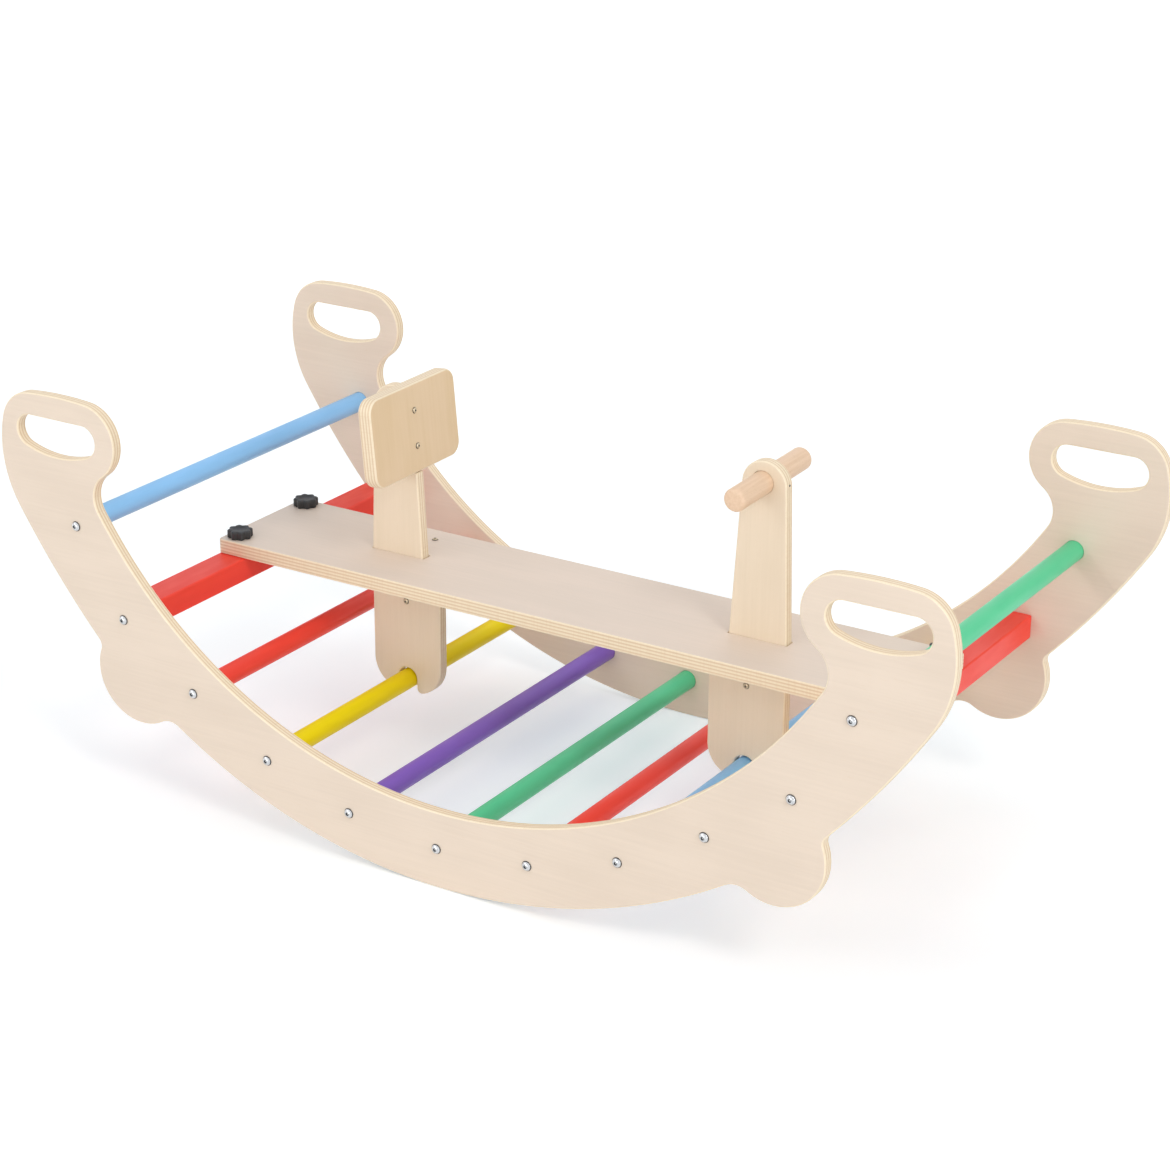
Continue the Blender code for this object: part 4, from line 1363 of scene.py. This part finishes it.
@dataclass(frozen=True)
class Posts:
    """The two posts: each rises through the board from a leg whose notch straddles a rung."""

    plan: ArchPlan
    leg_below_rung: float = 0.0142
    leg_end_radius: float = 0.0315
    notch_clearance: float = 0.0008
    notch_rise: float = 0.001
    notch_lip: float = 0.005
    top_radius: float = 0.023
    top_out: float = 0.0117
    top_up: float = 0.1497
    bar_radius: float = 0.011
    pin_radius: float = 0.0012
    ledge_below_top: float = 0.062
    backrest_lean: float = math.radians(5.4)
    backrest_thickness: float = 0.015
    bar_inside_top: float = 0.0015
    bar_above_top: float = 0.0025
    leg_screw_down: float = 0.0336
    ease: float = 0.0020
    plies: int = 7
    seed: float = 40.0
    face: tuple = ("F2E1C9", "EDDCC3")

    @property
    def leg_half(self) -> float:
        """Half of a leg's width."""
        return self.plan.leg_width / 2

    @property
    def inner_root(self) -> Vector:
        """Where a post's inner edge leaves the shoulder under the board."""
        return Vector((self.leg_half - self.plan.post_root_width, -TOUCH_GAP))

    @property
    def top(self) -> Vector:
        """Centre of a post's round top, from the middle of its leg at the board's underside."""
        return Vector((self.top_out, self.plan.board_thickness + self.top_up))

    @property
    def bar(self) -> Vector:
        """Centre of the handlebar, a little above and inside the centre of the post's round top."""
        return self.top + Vector((-self.bar_inside_top, self.bar_above_top))

    def backrest_notch(self) -> tuple[Vector, Vector, Vector, Vector]:
        """Return the notch that the backrest sits in.

        Returns:
            The notch's outer and inner corners, and the backrest's directions up and forward.
        """
        up = Vector((math.sin(self.backrest_lean), math.cos(self.backrest_lean)))
        forward = Vector((-up.y, up.x))
        root = self.inner_root
        edge = tangent_point(root, self.top, self.top_radius, 1) - root
        on_edge = root + edge * ((self.top.y - self.ledge_below_top - root.y) / edge.y)
        depth = self.backrest_thickness + TOUCH_GAP
        return on_edge, on_edge - depth * forward, up, forward

    def leg_end(self) -> Loop:
        """Draw the outer half of a leg's foot.

        Returns:
            Its outline from the notch's top, round its lip, to the outer edge.
        """
        rung_drop = self.plan.leg.y - self.plan.board_underside
        notch_radius = self.plan.rung_radius + self.notch_clearance
        end_up = rung_drop - self.leg_below_rung + self.leg_end_radius
        end_centre = Vector((self.leg_half - self.leg_end_radius, end_up))
        lip_x = notch_radius + self.notch_lip
        lip_drop = math.sqrt((self.leg_end_radius - self.notch_lip) ** 2 - (lip_x - end_centre.x) ** 2)
        lip = Vector((lip_x, end_centre.y - lip_drop))
        lip_end = angle_from(end_centre, lip)
        foot = arc((0, rung_drop + self.notch_rise), notch_radius, math.pi / 2, 0, -1)
        foot += arc(lip, self.notch_lip, math.pi, lip_end)
        foot += arc(end_centre, self.leg_end_radius, lip_end, 0)[1:]
        return foot

    def outline(self, end: End) -> Loop:
        """Return a post's outline from the middle of its leg at the board's underside, anticlockwise.

        Args:
            end: The rear post has a leaning notch for the backrest, and its outer edge lies at -X.

        Returns:
            The outline.
        """
        outer_foot = self.leg_end()
        outline = [Vector((-p.x, p.y)) for p in reversed(outer_foot)][:-1] + outer_foot
        outer_root = Vector((self.leg_half, -TOUCH_GAP))
        top = self.top
        outer_touch = tangent_point(outer_root, top, self.top_radius, -1)
        outline.append(outer_root)
        if end is End.REAR:
            on_edge, corner, up, _ = self.backrest_notch()
            back = corner - top
            reach = math.sqrt(back.dot(up) ** 2 - back.dot(back) + self.top_radius**2) - back.dot(up)
            upper_end = corner + reach * up
            outline += arc(top, self.top_radius, angle_from(top, outer_touch), angle_from(top, upper_end))
            outline += [corner, on_edge]
        else:
            inner_touch = tangent_point(self.inner_root, top, self.top_radius, 1)
            outline += arc(top, self.top_radius, angle_from(top, outer_touch), angle_from(top, inner_touch))
        outline += [self.inner_root, Vector((-self.leg_half, -TOUCH_GAP))]
        return outline if end is End.FRONT else [Vector((-p.x, p.y)) for p in reversed(outline)]

    def build(self) -> None:
        """Build and dress both posts."""
        plan = self.plan
        thickness = plan.post_thickness
        for end in End:
            walls = [eased_wall(self.outline(end), thickness, self.ease)]
            walls.append(plain_bore((0, -self.leg_screw_down), plan.screw_hole_radius, thickness))
            if end is End.FRONT:
                walls.append(plain_bore(self.bar, self.bar_radius + TOUCH_GAP, thickness, ROUND_SIDES))
            place = upright(end.value * plan.leg.x, 0, plan.board_underside)
            mesh = planed_plank("post", walls, place)
            name = end.name.lower()
            grain = place @ Matrix.Rotation(math.pi / 2, 4, "Z")
            veneer = f"birch_plywood_{name}_post"
            wood = BirchPlywood(veneer, grain, thickness, self.plies, self.seed * end.value, *self.face)
            show_piece(f"{name}_upright", mesh, wood, Body.SEAT.value, [f"{name}_post"])


@dataclass(frozen=True)
class Backrest:
    """The leaning backrest plate that sits in the rear post's notch."""

    plan: ArchPlan
    posts: Posts
    width: float = 0.140
    height: float = 0.088
    corner: float = 0.014
    ease: float = 0.0024
    screw_spacing: float = 0.0355
    plies: int = 9
    seed: float = 9.0
    face: tuple = ("EBD0AC", "E6CAA1")

    def frame(self) -> Matrix:
        """Lean the plate in the post's notch.

        Returns:
            The plate's place, with its width along X, its height along Y and its face towards +Z.
        """
        _, corner, up, forward = self.posts.backrest_notch()
        thickness = self.posts.backrest_thickness
        centre = corner + (TOUCH_GAP + self.height / 2) * up + (TOUCH_GAP + thickness / 2) * forward
        middle = Vector((-self.plan.leg.x - centre.x, 0, self.plan.board_underside + centre.y))
        rise = Vector((-up.x, 0, up.y))
        facing = Vector((-forward.x, 0, forward.y))
        turn = Matrix((rise.cross(facing), rise, facing)).transposed().to_4x4()
        return Matrix.Translation(middle) @ turn

    def screw_seats(self) -> list[tuple[Vector, Vector]]:
        """Find where the screws' heads sit on the plate's face.

        Returns:
            Point and outward direction of each head's seat.
        """
        place = self.frame()
        facing = place.to_3x3() @ Vector((0, 0, 1))
        reach = self.posts.backrest_thickness / 2
        return [(place @ Vector((0, side * self.screw_spacing / 2, reach)), facing) for side in (-1, 1)]

    def build(self) -> None:
        """Build and dress the plate."""
        thickness = self.posts.backrest_thickness
        walls = [eased_wall(rounded_rectangle(self.width, self.height, self.corner), thickness, self.ease)]
        for side in (-1, 1):
            spot = (0, side * self.screw_spacing / 2)
            walls.append(plain_bore(spot, self.plan.screw_hole_radius, thickness))
        place = self.frame()
        mesh = planed_plank("backrest", walls, place)
        turned = place @ Matrix.Rotation(math.pi / 2, 4, "Z")
        wood = BirchPlywood("birch_plywood_backrest", turned, thickness, self.plies, self.seed, *self.face)
        show_piece("backrest_plate", mesh, wood, Body.SEAT.value, ["backrest"])


@dataclass(frozen=True)
class Handlebar:
    """The round bar through the front post's top, a little askew in its hole, and the pin that locks it."""

    plan: ArchPlan
    posts: Posts
    length: float = 0.128
    ease: float = 0.003
    tilt: float = math.radians(1.3)
    shift: float = 0.0053
    pin_proud: float = 0.0004
    pin_tip: float = 0.7

    def pin(self) -> Mesh:
        """Turn the pin in the post's edge.

        Returns:
            The pin on Z, from the bar's surface out to its rounded end.
        """
        posts = self.posts
        radius = posts.pin_radius - TOUCH_GAP / 2
        inner = posts.bar_radius + 2 * TOUCH_GAP
        outer = posts.top_radius + posts.bar_inside_top + self.pin_proud
        rings = [Ring(0, inner), Ring(radius, inner), Ring(radius, outer - self.pin_proud)]
        rings += [Ring(self.pin_tip * radius, outer), Ring(0, outer)]
        return turned_mesh("bar_pin", rings, BORE_SIDES)

    def build(self) -> None:
        """Build and dress the bar and its pin."""
        rings = rounded_ends(self.posts.bar_radius, self.length / 2, self.ease)
        mesh = turned_mesh("handlebar", rings, ROUND_SIDES)
        bar = self.posts.bar
        centre = (self.plan.leg.x + bar.x, 0, self.plan.board_underside + bar.y)
        hole = Matrix.Translation(centre) @ Matrix.Rotation(self.tilt, 4, "X")
        mesh.transform(hole @ Matrix.Translation((0, self.shift, 0)) @ Matrix.Rotation(math.pi / 2, 4, "X"))
        show_piece("turned_handlebar", mesh, BEECH, Body.SEAT.value, ["handlebar"])
        pin = self.pin()
        pin.transform(Matrix.Translation(centre) @ Matrix.Rotation(math.pi / 2, 4, "Y"))
        show_piece("bar_locking_pin", pin, STEEL, Body.SEAT.value, [])


@dataclass(frozen=True)
class Cleats:
    """The two blocks under the board that tie each leg to it."""

    plan: ArchPlan
    width: float = 0.030
    reach: float = 0.054
    height: float = 0.044
    ease: float = 0.0015

    def build(self) -> None:
        """Build and dress both blocks."""
        near_face = self.plan.post_thickness / 2 + TOUCH_GAP
        walls = [eased_wall(rounded_rectangle(self.width, self.reach, self.ease), self.height, self.ease)]
        down = self.plan.board_underside - TOUCH_GAP - self.height / 2
        for end in End:
            place = Matrix.Translation((end.value * self.plan.leg.x, near_face + self.reach / 2, down))
            mesh = planed_plank("cleat", walls, place)
            name = end.name.lower()
            show_piece(f"{name}_cleat_block", mesh, BEECH, Body.SEAT.value, [f"cleat_{name}"])


# Screws


@dataclass(frozen=True)
class Screws:
    """The round-headed furniture screws with hexagon sockets."""

    plan: ArchPlan
    posts: Posts
    backrest: Backrest
    board: SeatBoard
    panel_head: tuple = (0.005, 0.003)
    seat_head: tuple = (0.0032, 0.0016)
    shank_radius: float = 0.00225
    length: float = 0.035
    point: float = 0.004
    socket_share: float = 0.34
    socket_depth: float = 0.0013
    socket_lip: float = 1.2
    socket_rim: float = 0.0001
    dome_steps: int = 10
    # how many rings at the dome's rim get painted shade
    painted_shade_steps: int = 3
    socket_seed: int = 7

    @staticmethod
    def hexagon(angle: float) -> float:
        """Return the share of the corner radius that a hexagon has at an angle."""
        sector = math.pi / 3
        return math.cos(sector / 2) / math.cos(angle % sector - sector / 2)

    def screw(self, head_radius: float, head_height: float) -> Mesh:
        """Return a screw along Z, with the underside of its head at zero.

        Args:
            head_radius: The radius of its domed head.
            head_height: The height of its domed head.

        Returns:
            The screw, with painted shade in its socket and round its rim.
        """
        dome_radius = (head_radius**2 + head_height**2) / (2 * head_height)
        centre = Vector((0, head_height - dome_radius))
        rim = angle_from(centre, Vector((head_radius, 0)))
        socket = self.socket_share * head_radius
        lip = math.acos(self.socket_lip * socket / dome_radius)
        steps = self.dome_steps
        dome = [point_at(centre, dome_radius, lip + (rim - lip) * k / steps) for k in range(steps + 1)]
        floor = head_height - self.socket_depth
        # painted shade: the socket and the dome's last rings are marked dark
        rings = [Ring(0, floor, painted_shade=1.0), Ring(socket, floor, self.hexagon, 1.0)]
        rings.append(Ring(socket, dome[0].y - self.socket_rim, self.hexagon, 0.8))
        rings += [Ring(p.x, p.y, painted_shade=float(k > steps - self.painted_shade_steps)) for k, p in enumerate(dome)]
        rings += [Ring(self.shank_radius, 0), Ring(self.shank_radius, self.point - self.length)]
        rings.append(Ring(0, -self.length))
        return turned_mesh("screw", rings, BORE_SIDES)

    def tree(self) -> Tree:
        """Return the tree that drives a screw at each seat, its socket turned at random.

        Returns:
            A tree whose inputs are the screw, the gap under its head, the seed and the metal.
        """
        kinds = {"Screw": "NodeSocketObject", "Gap": FLOAT, "Seed": "NodeSocketInt"}
        tree, value = new_geometry_tree("screws_on_their_seats", kinds)
        out = add_node(tree, "GeometryNodeInputNamedAttribute", {"Name": "out"}, data_type="FLOAT_VECTOR")
        gap = add_node(tree, "ShaderNodeVectorMath", {0: out, "Scale": value["Gap"]}, operation="SCALE")
        seats = add_node(tree, "GeometryNodeSetPosition", {"Geometry": value["Geometry"], "Offset": gap})
        facing = add_node(tree, "FunctionNodeAlignRotationToVector", {"Vector": out}, axis="Z")
        inputs = {3: math.tau, "Seed": value["Seed"]}
        chance = add_node(tree, "FunctionNodeRandomValue", inputs, data_type="FLOAT")
        turn = add_node(tree, "ShaderNodeCombineXYZ", {"Z": chance.outputs[1]})
        spin = add_node(tree, "FunctionNodeRotateRotation", (facing, turn), rotation_space="LOCAL")
        screw = add_node(tree, "GeometryNodeObjectInfo", {"Object": value["Screw"]}).outputs["Geometry"]
        inputs = {"Points": seats, "Instance": screw, "Rotation": spin}
        end_geometry_tree(tree, add_node(tree, "GeometryNodeInstanceOnPoints", inputs), value["Finish"])
        return tree

    def drive(self, name: str, head: tuple, metal: Finish, seats: list, body: Body, nodes: list[str]) -> None:
        """Drive one screw at each seat and show them as one piece.

        Args:
            name: The piece's name.
            head: Radius and height of the screws' heads.
            metal: Their finish.
            seats: Point and outward direction of each head's seat.
            body: The body that they ride on.
            nodes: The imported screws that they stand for.
        """
        points = bpy.data.meshes.new(name)
        points.from_pydata([point for point, _ in seats], [], [])
        directions = points.attributes.new("out", "FLOAT_VECTOR", "POINT")
        directions.data.foreach_set("vector", [number for _, out in seats for number in out])
        screw = new_object("screw", self.screw(*head))
        holder = new_object(name, points)
        values = {"Screw": screw, "Gap": TOUCH_GAP, "Seed": self.socket_seed, "Finish": metal.material()}
        modifier_input(holder, self.tree(), values)
        mesh = evaluated_mesh(holder, name)
        bpy.data.objects.remove(screw, do_unlink=True)
        show_piece(name, mesh, metal, body.value, nodes)

    def build(self) -> None:
        """Drive the panels' screws and the seat's."""
        plan = self.plan
        seats = []
        for x, z in map(plan.screw_spot, plan.steps):
            for side in Side:
                seats.append((Vector((x, side.value * plan.outer_face, z)), Vector((0, side.value, 0))))
        numbers = range(1, len(plan.steps) + 1)
        names = [f"panel_screw_{side.name.lower()}_{number}" for side in Side for number in numbers]
        self.drive("panel_screws", self.panel_head, ZINC, seats, Body.FRAME, names)

        seats = self.backrest.screw_seats()
        names = ["backrest_screw_lower", "backrest_screw_upper"]
        for end in End:
            x = end.value * plan.leg.x
            down = plan.board_underside - self.posts.leg_screw_down
            seats.append((Vector((x, -plan.post_thickness / 2, down)), Vector((0, -1, 0))))
            seats.append((Vector((x, self.board.screw_across, plan.board_top)), Vector((0, 0, 1))))
            names += [f"leg_screw_{end.name.lower()}", f"board_screw_{end.name.lower()}"]
        self.drive("seat_screws", self.seat_head, YELLOW_ZINC, seats, Body.SEAT, names)


# Knobs


@dataclass(frozen=True)
class Knobs:
    """The four star knobs that hold the board, their studs and the threaded inserts in the beams."""

    plan: ArchPlan
    radius: float = 0.0127
    scallop: float = 0.0011
    lobes: int = 8
    lobe_sides: int = 16
    height: float = 0.0084
    ease: float = 0.0014
    dish_radius: float = 0.0070
    dish_depth: float = 0.0005
    dish_slope: float = 0.9
    stud_radius: float = 0.003
    stud_in_knob: float = 0.0050
    stud_past_insert: float = 0.001
    stud_plain: float = 0.002
    pitch: float = 0.001
    thread_depth: float = 0.0004
    thread_root: float = 0.0002
    turn_sides: int = 24
    ridge_sides: int = 6
    insert_length: float = 0.012
    insert_wall: float = 0.0014
    insert_mouth: float = 0.0003

    def star(self, angle: float) -> float:
        """Return the share of the radius that the star has at an angle."""
        return 1 - self.scallop / self.radius * (1 - math.cos(self.lobes * angle))

    def head(self) -> Mesh:
        """Mould a low star knob with a shallow dish in its top.

        Returns:
            The knob on Z, standing on zero.
        """
        over = [(self.radius - aside, self.height - down) for aside, down in quarter_round(self.ease)]
        dish = self.height - self.dish_depth
        rings = [Ring(0, dish), Ring(self.dish_slope * self.dish_radius, dish)]
        rings += [Ring(self.dish_radius, self.height), *(Ring(r, z, self.star) for r, z in over)]
        foot = self.ease / 2
        rings += [Ring(self.radius, foot, self.star), Ring(self.radius - foot, 0, self.star)]
        bore, floor = self.stud_radius + TOUCH_GAP, self.stud_in_knob + TOUCH_GAP
        rings += [Ring(bore, 0), Ring(bore, floor), Ring(0, floor)]
        return turned_mesh("knob", rings, self.lobes * self.lobe_sides)

    def tree(self) -> Tree:
        """Return the tree that winds a thread round a core.

        Returns:
            A tree whose inputs are the thread's sizes and the metal.
        """
        kinds = dict.fromkeys(("Radius", "Pitch", "Depth", "Length"), FLOAT)
        tree, value = new_geometry_tree("wound_thread", kinds)
        turns = add_node(tree, MATH, (value["Length"], value["Pitch"]), operation="DIVIDE")
        middle = add_node(tree, MATH, (value["Radius"], value["Depth"]), operation="SUBTRACT")
        inputs = {"Resolution": self.turn_sides, "Rotations": turns, "Height": value["Length"]}
        inputs |= {"Start Radius": middle, "End Radius": middle}
        helix = add_node(tree, "GeometryNodeCurveSpiral", inputs)
        inputs = {"Resolution": self.ridge_sides, "Radius": value["Depth"]}
        ridge = add_node(tree, "GeometryNodeCurvePrimitiveCircle", inputs)
        inputs = {"Curve": helix, "Profile Curve": ridge, "Fill Caps": True}
        joined = add_node(tree, "GeometryNodeJoinGeometry", (value["Geometry"],))
        feed(joined, 0, add_node(tree, "GeometryNodeCurveToMesh", inputs))
        end_geometry_tree(tree, joined, value["Finish"])
        return tree

    def stud(self, tree: Tree) -> Mesh:
        """Return a threaded stud on Z whose zero is the underside of its knob.

        Args:
            tree: The tree that winds its thread.

        Returns:
            The stud.
        """
        tip = -(self.plan.board_thickness + 2 * TOUCH_GAP + self.insert_length + self.stud_past_insert)
        core = self.stud_radius - 2 * self.thread_depth + self.thread_root
        plain = -self.stud_plain
        rings = [Ring(0, self.stud_in_knob), Ring(self.stud_radius, self.stud_in_knob)]
        rings += [Ring(self.stud_radius, plain), Ring(core, plain), Ring(core, tip + self.pitch)]
        rings += [Ring(core - self.pitch / 2, tip), Ring(0, tip)]
        mesh = turned_mesh("stud", rings, BORE_SIDES)
        mesh.transform(Matrix.Translation((0, 0, -tip - self.pitch)))
        holder = new_object("stud", mesh)
        values = {"Radius": self.stud_radius, "Pitch": self.pitch, "Depth": self.thread_depth}
        values |= {"Length": plain - tip - 1.5 * self.pitch, "Finish": ZINC.material()}
        modifier_input(holder, tree, values)
        mesh = evaluated_mesh(holder, "stud")
        mesh.transform(Matrix.Translation((0, 0, tip + self.pitch)))
        return mesh

    def insert(self) -> Mesh:
        """Turn a threaded insert.

        Returns:
            The insert on Z, hanging down from zero.
        """
        inner = self.stud_radius + TOUCH_GAP
        outer = inner + self.insert_wall
        soft = self.insert_mouth
        rings = [Ring(inner + soft, 0), Ring(outer, 0), Ring(outer, -self.insert_length)]
        rings += [Ring(inner, -self.insert_length), Ring(inner, -soft)]
        return turned_mesh("insert", rings, BORE_SIDES, closed=True)

    def build(self) -> None:
        """Build and dress the knobs, studs and inserts."""
        tree = self.tree()
        places = [(end, side) for end in End for side in Side]
        for number, (end, side) in enumerate(places, start=1):
            x, y = end.value * self.plan.beam.x, side.value * self.plan.knob_spacing / 2
            on_board = Matrix.Translation((x, y, self.plan.board_top + TOUCH_GAP))
            in_beam = Matrix.Translation((x, y, self.plan.beam_top))
            knob, stud = f"knob_{number}", f"knob_stud_{number}"
            head, insert = f"knob_head_{number}", f"insert_{number}"
            pieces = (
                (f"star_{knob}", self.head(), on_board, NYLON, knob, "black_plastic", head),
                (f"threaded_stud_{number}", self.stud(tree), on_board, ZINC, stud, "zinc_steel", stud),
                (f"brass_{insert}", self.insert(), in_beam, BRASS, Body.FRAME.value, "brass", insert),
            )
            for name, mesh, place, finish, body, slot, node in pieces:
                mesh.transform(place)
                show_piece(name, mesh, finish, body, [node])


# Studio


@dataclass(frozen=True)
class Studio:
    """The floor, the lights, the white surround and the camera at the photograph's viewpoint."""

    camera_place: tuple = (1.33179, -2.13149, 1.22236)
    azimuth: float = math.radians(31.761)
    elevation: float = math.radians(21.759)
    roll: float = math.radians(0.414)
    lens_mm: float = 87.77
    sensor_mm: float = 36.0
    floor_half: float = 15.0
    horizon_strength: float = 0.25
    zenith_strength: float = 0.78
    paper_colour: str = "F5F5F5"
    shade_colour: str = "F7EFE7"
    glow_colour: str = "C3E7FF"
    floor_glow: float = 0.37
    shadow_reach: float = 1.4
    sweep_start: float = 3.2

    def camera(self) -> None:
        """Add the camera where the photograph was taken."""
        lens = bpy.data.cameras.new("photograph_view")
        lens.lens = self.lens_mm
        lens.sensor_width = self.sensor_mm
        lens.clip_end = 100.0
        azimuth, elevation = self.azimuth, self.elevation
        right = Vector((math.cos(azimuth), math.sin(azimuth), 0))
        level = Vector((math.sin(azimuth), -math.cos(azimuth), 0))
        back = math.cos(elevation) * level + Vector((0, 0, math.sin(elevation)))
        up = back.cross(right)
        turned_right = math.cos(self.roll) * right + math.sin(self.roll) * up
        turned_up = math.cos(self.roll) * up - math.sin(self.roll) * right
        turn = Matrix((turned_right, turned_up, back)).transposed().to_4x4()
        made = new_object("photograph_view", lens)
        made.matrix_world = Matrix.Translation(self.camera_place) @ turn
        bpy.context.scene.camera = made

    def seen_directly(self, tree: Tree) -> Node:
        """Tell which rays see the surround itself: those from the camera, in gloss or through glass.

        Args:
            tree: A material's or the world's node tree.

        Returns:
            The node with their share, 0 or 1.
        """
        path = add_node(tree, "ShaderNodeLightPath").outputs
        inputs = (path["Is Glossy Ray"], path["Is Transmission Ray"])
        mirrored = add_node(tree, MATH, inputs, operation="MAXIMUM")
        return add_node(tree, MATH, (path["Is Camera Ray"], mirrored), operation="MAXIMUM")

    def surround(self) -> None:
        """Make the world: white to look at, and a soft even light."""
        world = bpy.data.worlds.new("white_surround")
        world.use_nodes = True
        bpy.context.scene.world = world
        tree = world.node_tree
        tree.nodes.clear()
        towards = add_node(tree, "ShaderNodeTexCoord").outputs["Generated"]
        height = add_node(tree, "ShaderNodeSeparateXYZ", (towards,)).outputs["Z"]
        above = add_node(tree, MATH, (height, 0.0), operation="MAXIMUM")
        ceiling = add_node(tree, MATH, (above, 2.0), operation="POWER")
        inputs = (ceiling, self.zenith_strength, self.horizon_strength)
        strength = add_node(tree, MATH, inputs, operation="MULTIPLY_ADD")
        light = add_node(tree, "ShaderNodeBackground", {"Color": linear(WHITE), "Strength": strength})
        white = add_node(tree, "ShaderNodeBackground", {"Color": linear(WHITE), "Strength": 1.0})
        mixed = add_node(tree, "ShaderNodeMixShader", (self.seen_directly(tree), light, white))
        add_node(tree, "ShaderNodeOutputWorld", {"Surface": mixed})

    def floor(self) -> None:
        """Lay the pale floor, which keeps the object's shadow and is white away from it."""
        solid = bmesh.new()
        bmesh.ops.create_grid(solid, x_segments=1, y_segments=1, size=self.floor_half)
        mesh = mesh_of(solid, "studio_floor")
        material = bpy.data.materials.new("matt_white_floor")
        material.use_nodes = True
        tree = material.node_tree
        tree.nodes.clear()
        paper = add_node(tree, "ShaderNodeBsdfDiffuse", {"Color": linear(self.paper_colour)})
        shade = add_node(tree, "ShaderNodeBsdfDiffuse", {"Color": linear(self.shade_colour)})
        # the glow is cool to make up for the warm light that the wood throws into its shadow, and turns to
        # plain white further out
        here = add_node(tree, "ShaderNodeTexCoord").outputs["Object"]
        away = add_node(tree, "ShaderNodeVectorMath", (here,), operation="LENGTH").outputs["Value"]
        inputs = {"Color": linear(self.glow_colour), "Strength": self.floor_glow}
        glow = add_node(tree, "ShaderNodeEmission", inputs)
        sweep = add_node(tree, "ShaderNodeEmission", {"Color": linear(WHITE), "Strength": 1.0})
        inputs = (away, self.shadow_reach, self.sweep_start, 0.0, 1.0)
        swept = add_node(tree, MAP_RANGE, inputs, interpolation_type=SMOOTH)
        glow = add_node(tree, "ShaderNodeMixShader", (swept, glow, sweep))
        seen = add_node(tree, "ShaderNodeAddShader", (shade, glow))
        mixed = add_node(tree, "ShaderNodeMixShader", (self.seen_directly(tree), paper, seen))
        add_node(tree, "ShaderNodeOutputMaterial", {"Surface": mixed})
        mesh.materials.append(material)
        new_object("studio_floor", mesh)

    def soft_box(self, name: str, place: tuple, size: float, level: float, in_gloss: bool = True) -> None:
        """Hang a square soft light that faces the object.

        Args:
            name: The light's name.
            place: Its centre.
            size: The length of its sides.
            level: The light it gives a white surface that faces it at the object, where 1 shows as white.
            in_gloss: Whether glossy surfaces mirror it.
        """
        towards = Vector(place)
        lamp = bpy.data.lights.new(name, "AREA")
        lamp.shape = "SQUARE"
        lamp.size = size
        lamp.energy = level * math.pi**2 * towards.length_squared
        made = new_object(name, lamp)
        made.location = towards
        made.rotation_euler = towards.to_track_quat("Z", "Y").to_euler()
        made.visible_camera = False
        made.visible_glossy = in_gloss

    def build(self) -> None:
        """Set up the studio."""
        self.camera()
        self.surround()
        self.floor()
        self.soft_box("back_light", (-1.2, 6.2, 3.2), 4.0, 0.17, in_gloss=False)
        self.soft_box("key_light_upper_right", (4.3, -2.4, 4.9), 1.5, 0.15)
        self.soft_box("key_light_upper_left", (-4.8, -5.7, 5.0), 2.5, 0.10)
        self.soft_box("front_light", (-0.4, -6.5, 0.9), 3.0, 0.27)
        self.soft_box("right_light", (7.0, -1.7, 1.6), 4.0, 0.20)
        bpy.context.scene.view_settings.view_transform = "Standard"


def main() -> None:
    """Build the arch and the studio."""
    logging.basicConfig(level=logging.INFO, format="%(message)s")
    plan = ArchPlan()
    posts = Posts(plan)
    backrest = Backrest(plan, posts)
    board = SeatBoard(plan)
    Studio().build()
    assemblies = [SidePanels(plan), Rungs(plan), Beams(plan), board, posts, backrest, Handlebar(plan, posts)]
    assemblies += [Cleats(plan), Screws(plan, posts, backrest, board), Knobs(plan)]
    for assembly in assemblies:
        assembly.build()
        LOG.info("%s built", type(assembly).__name__)


if __name__ == "__main__":
    main()
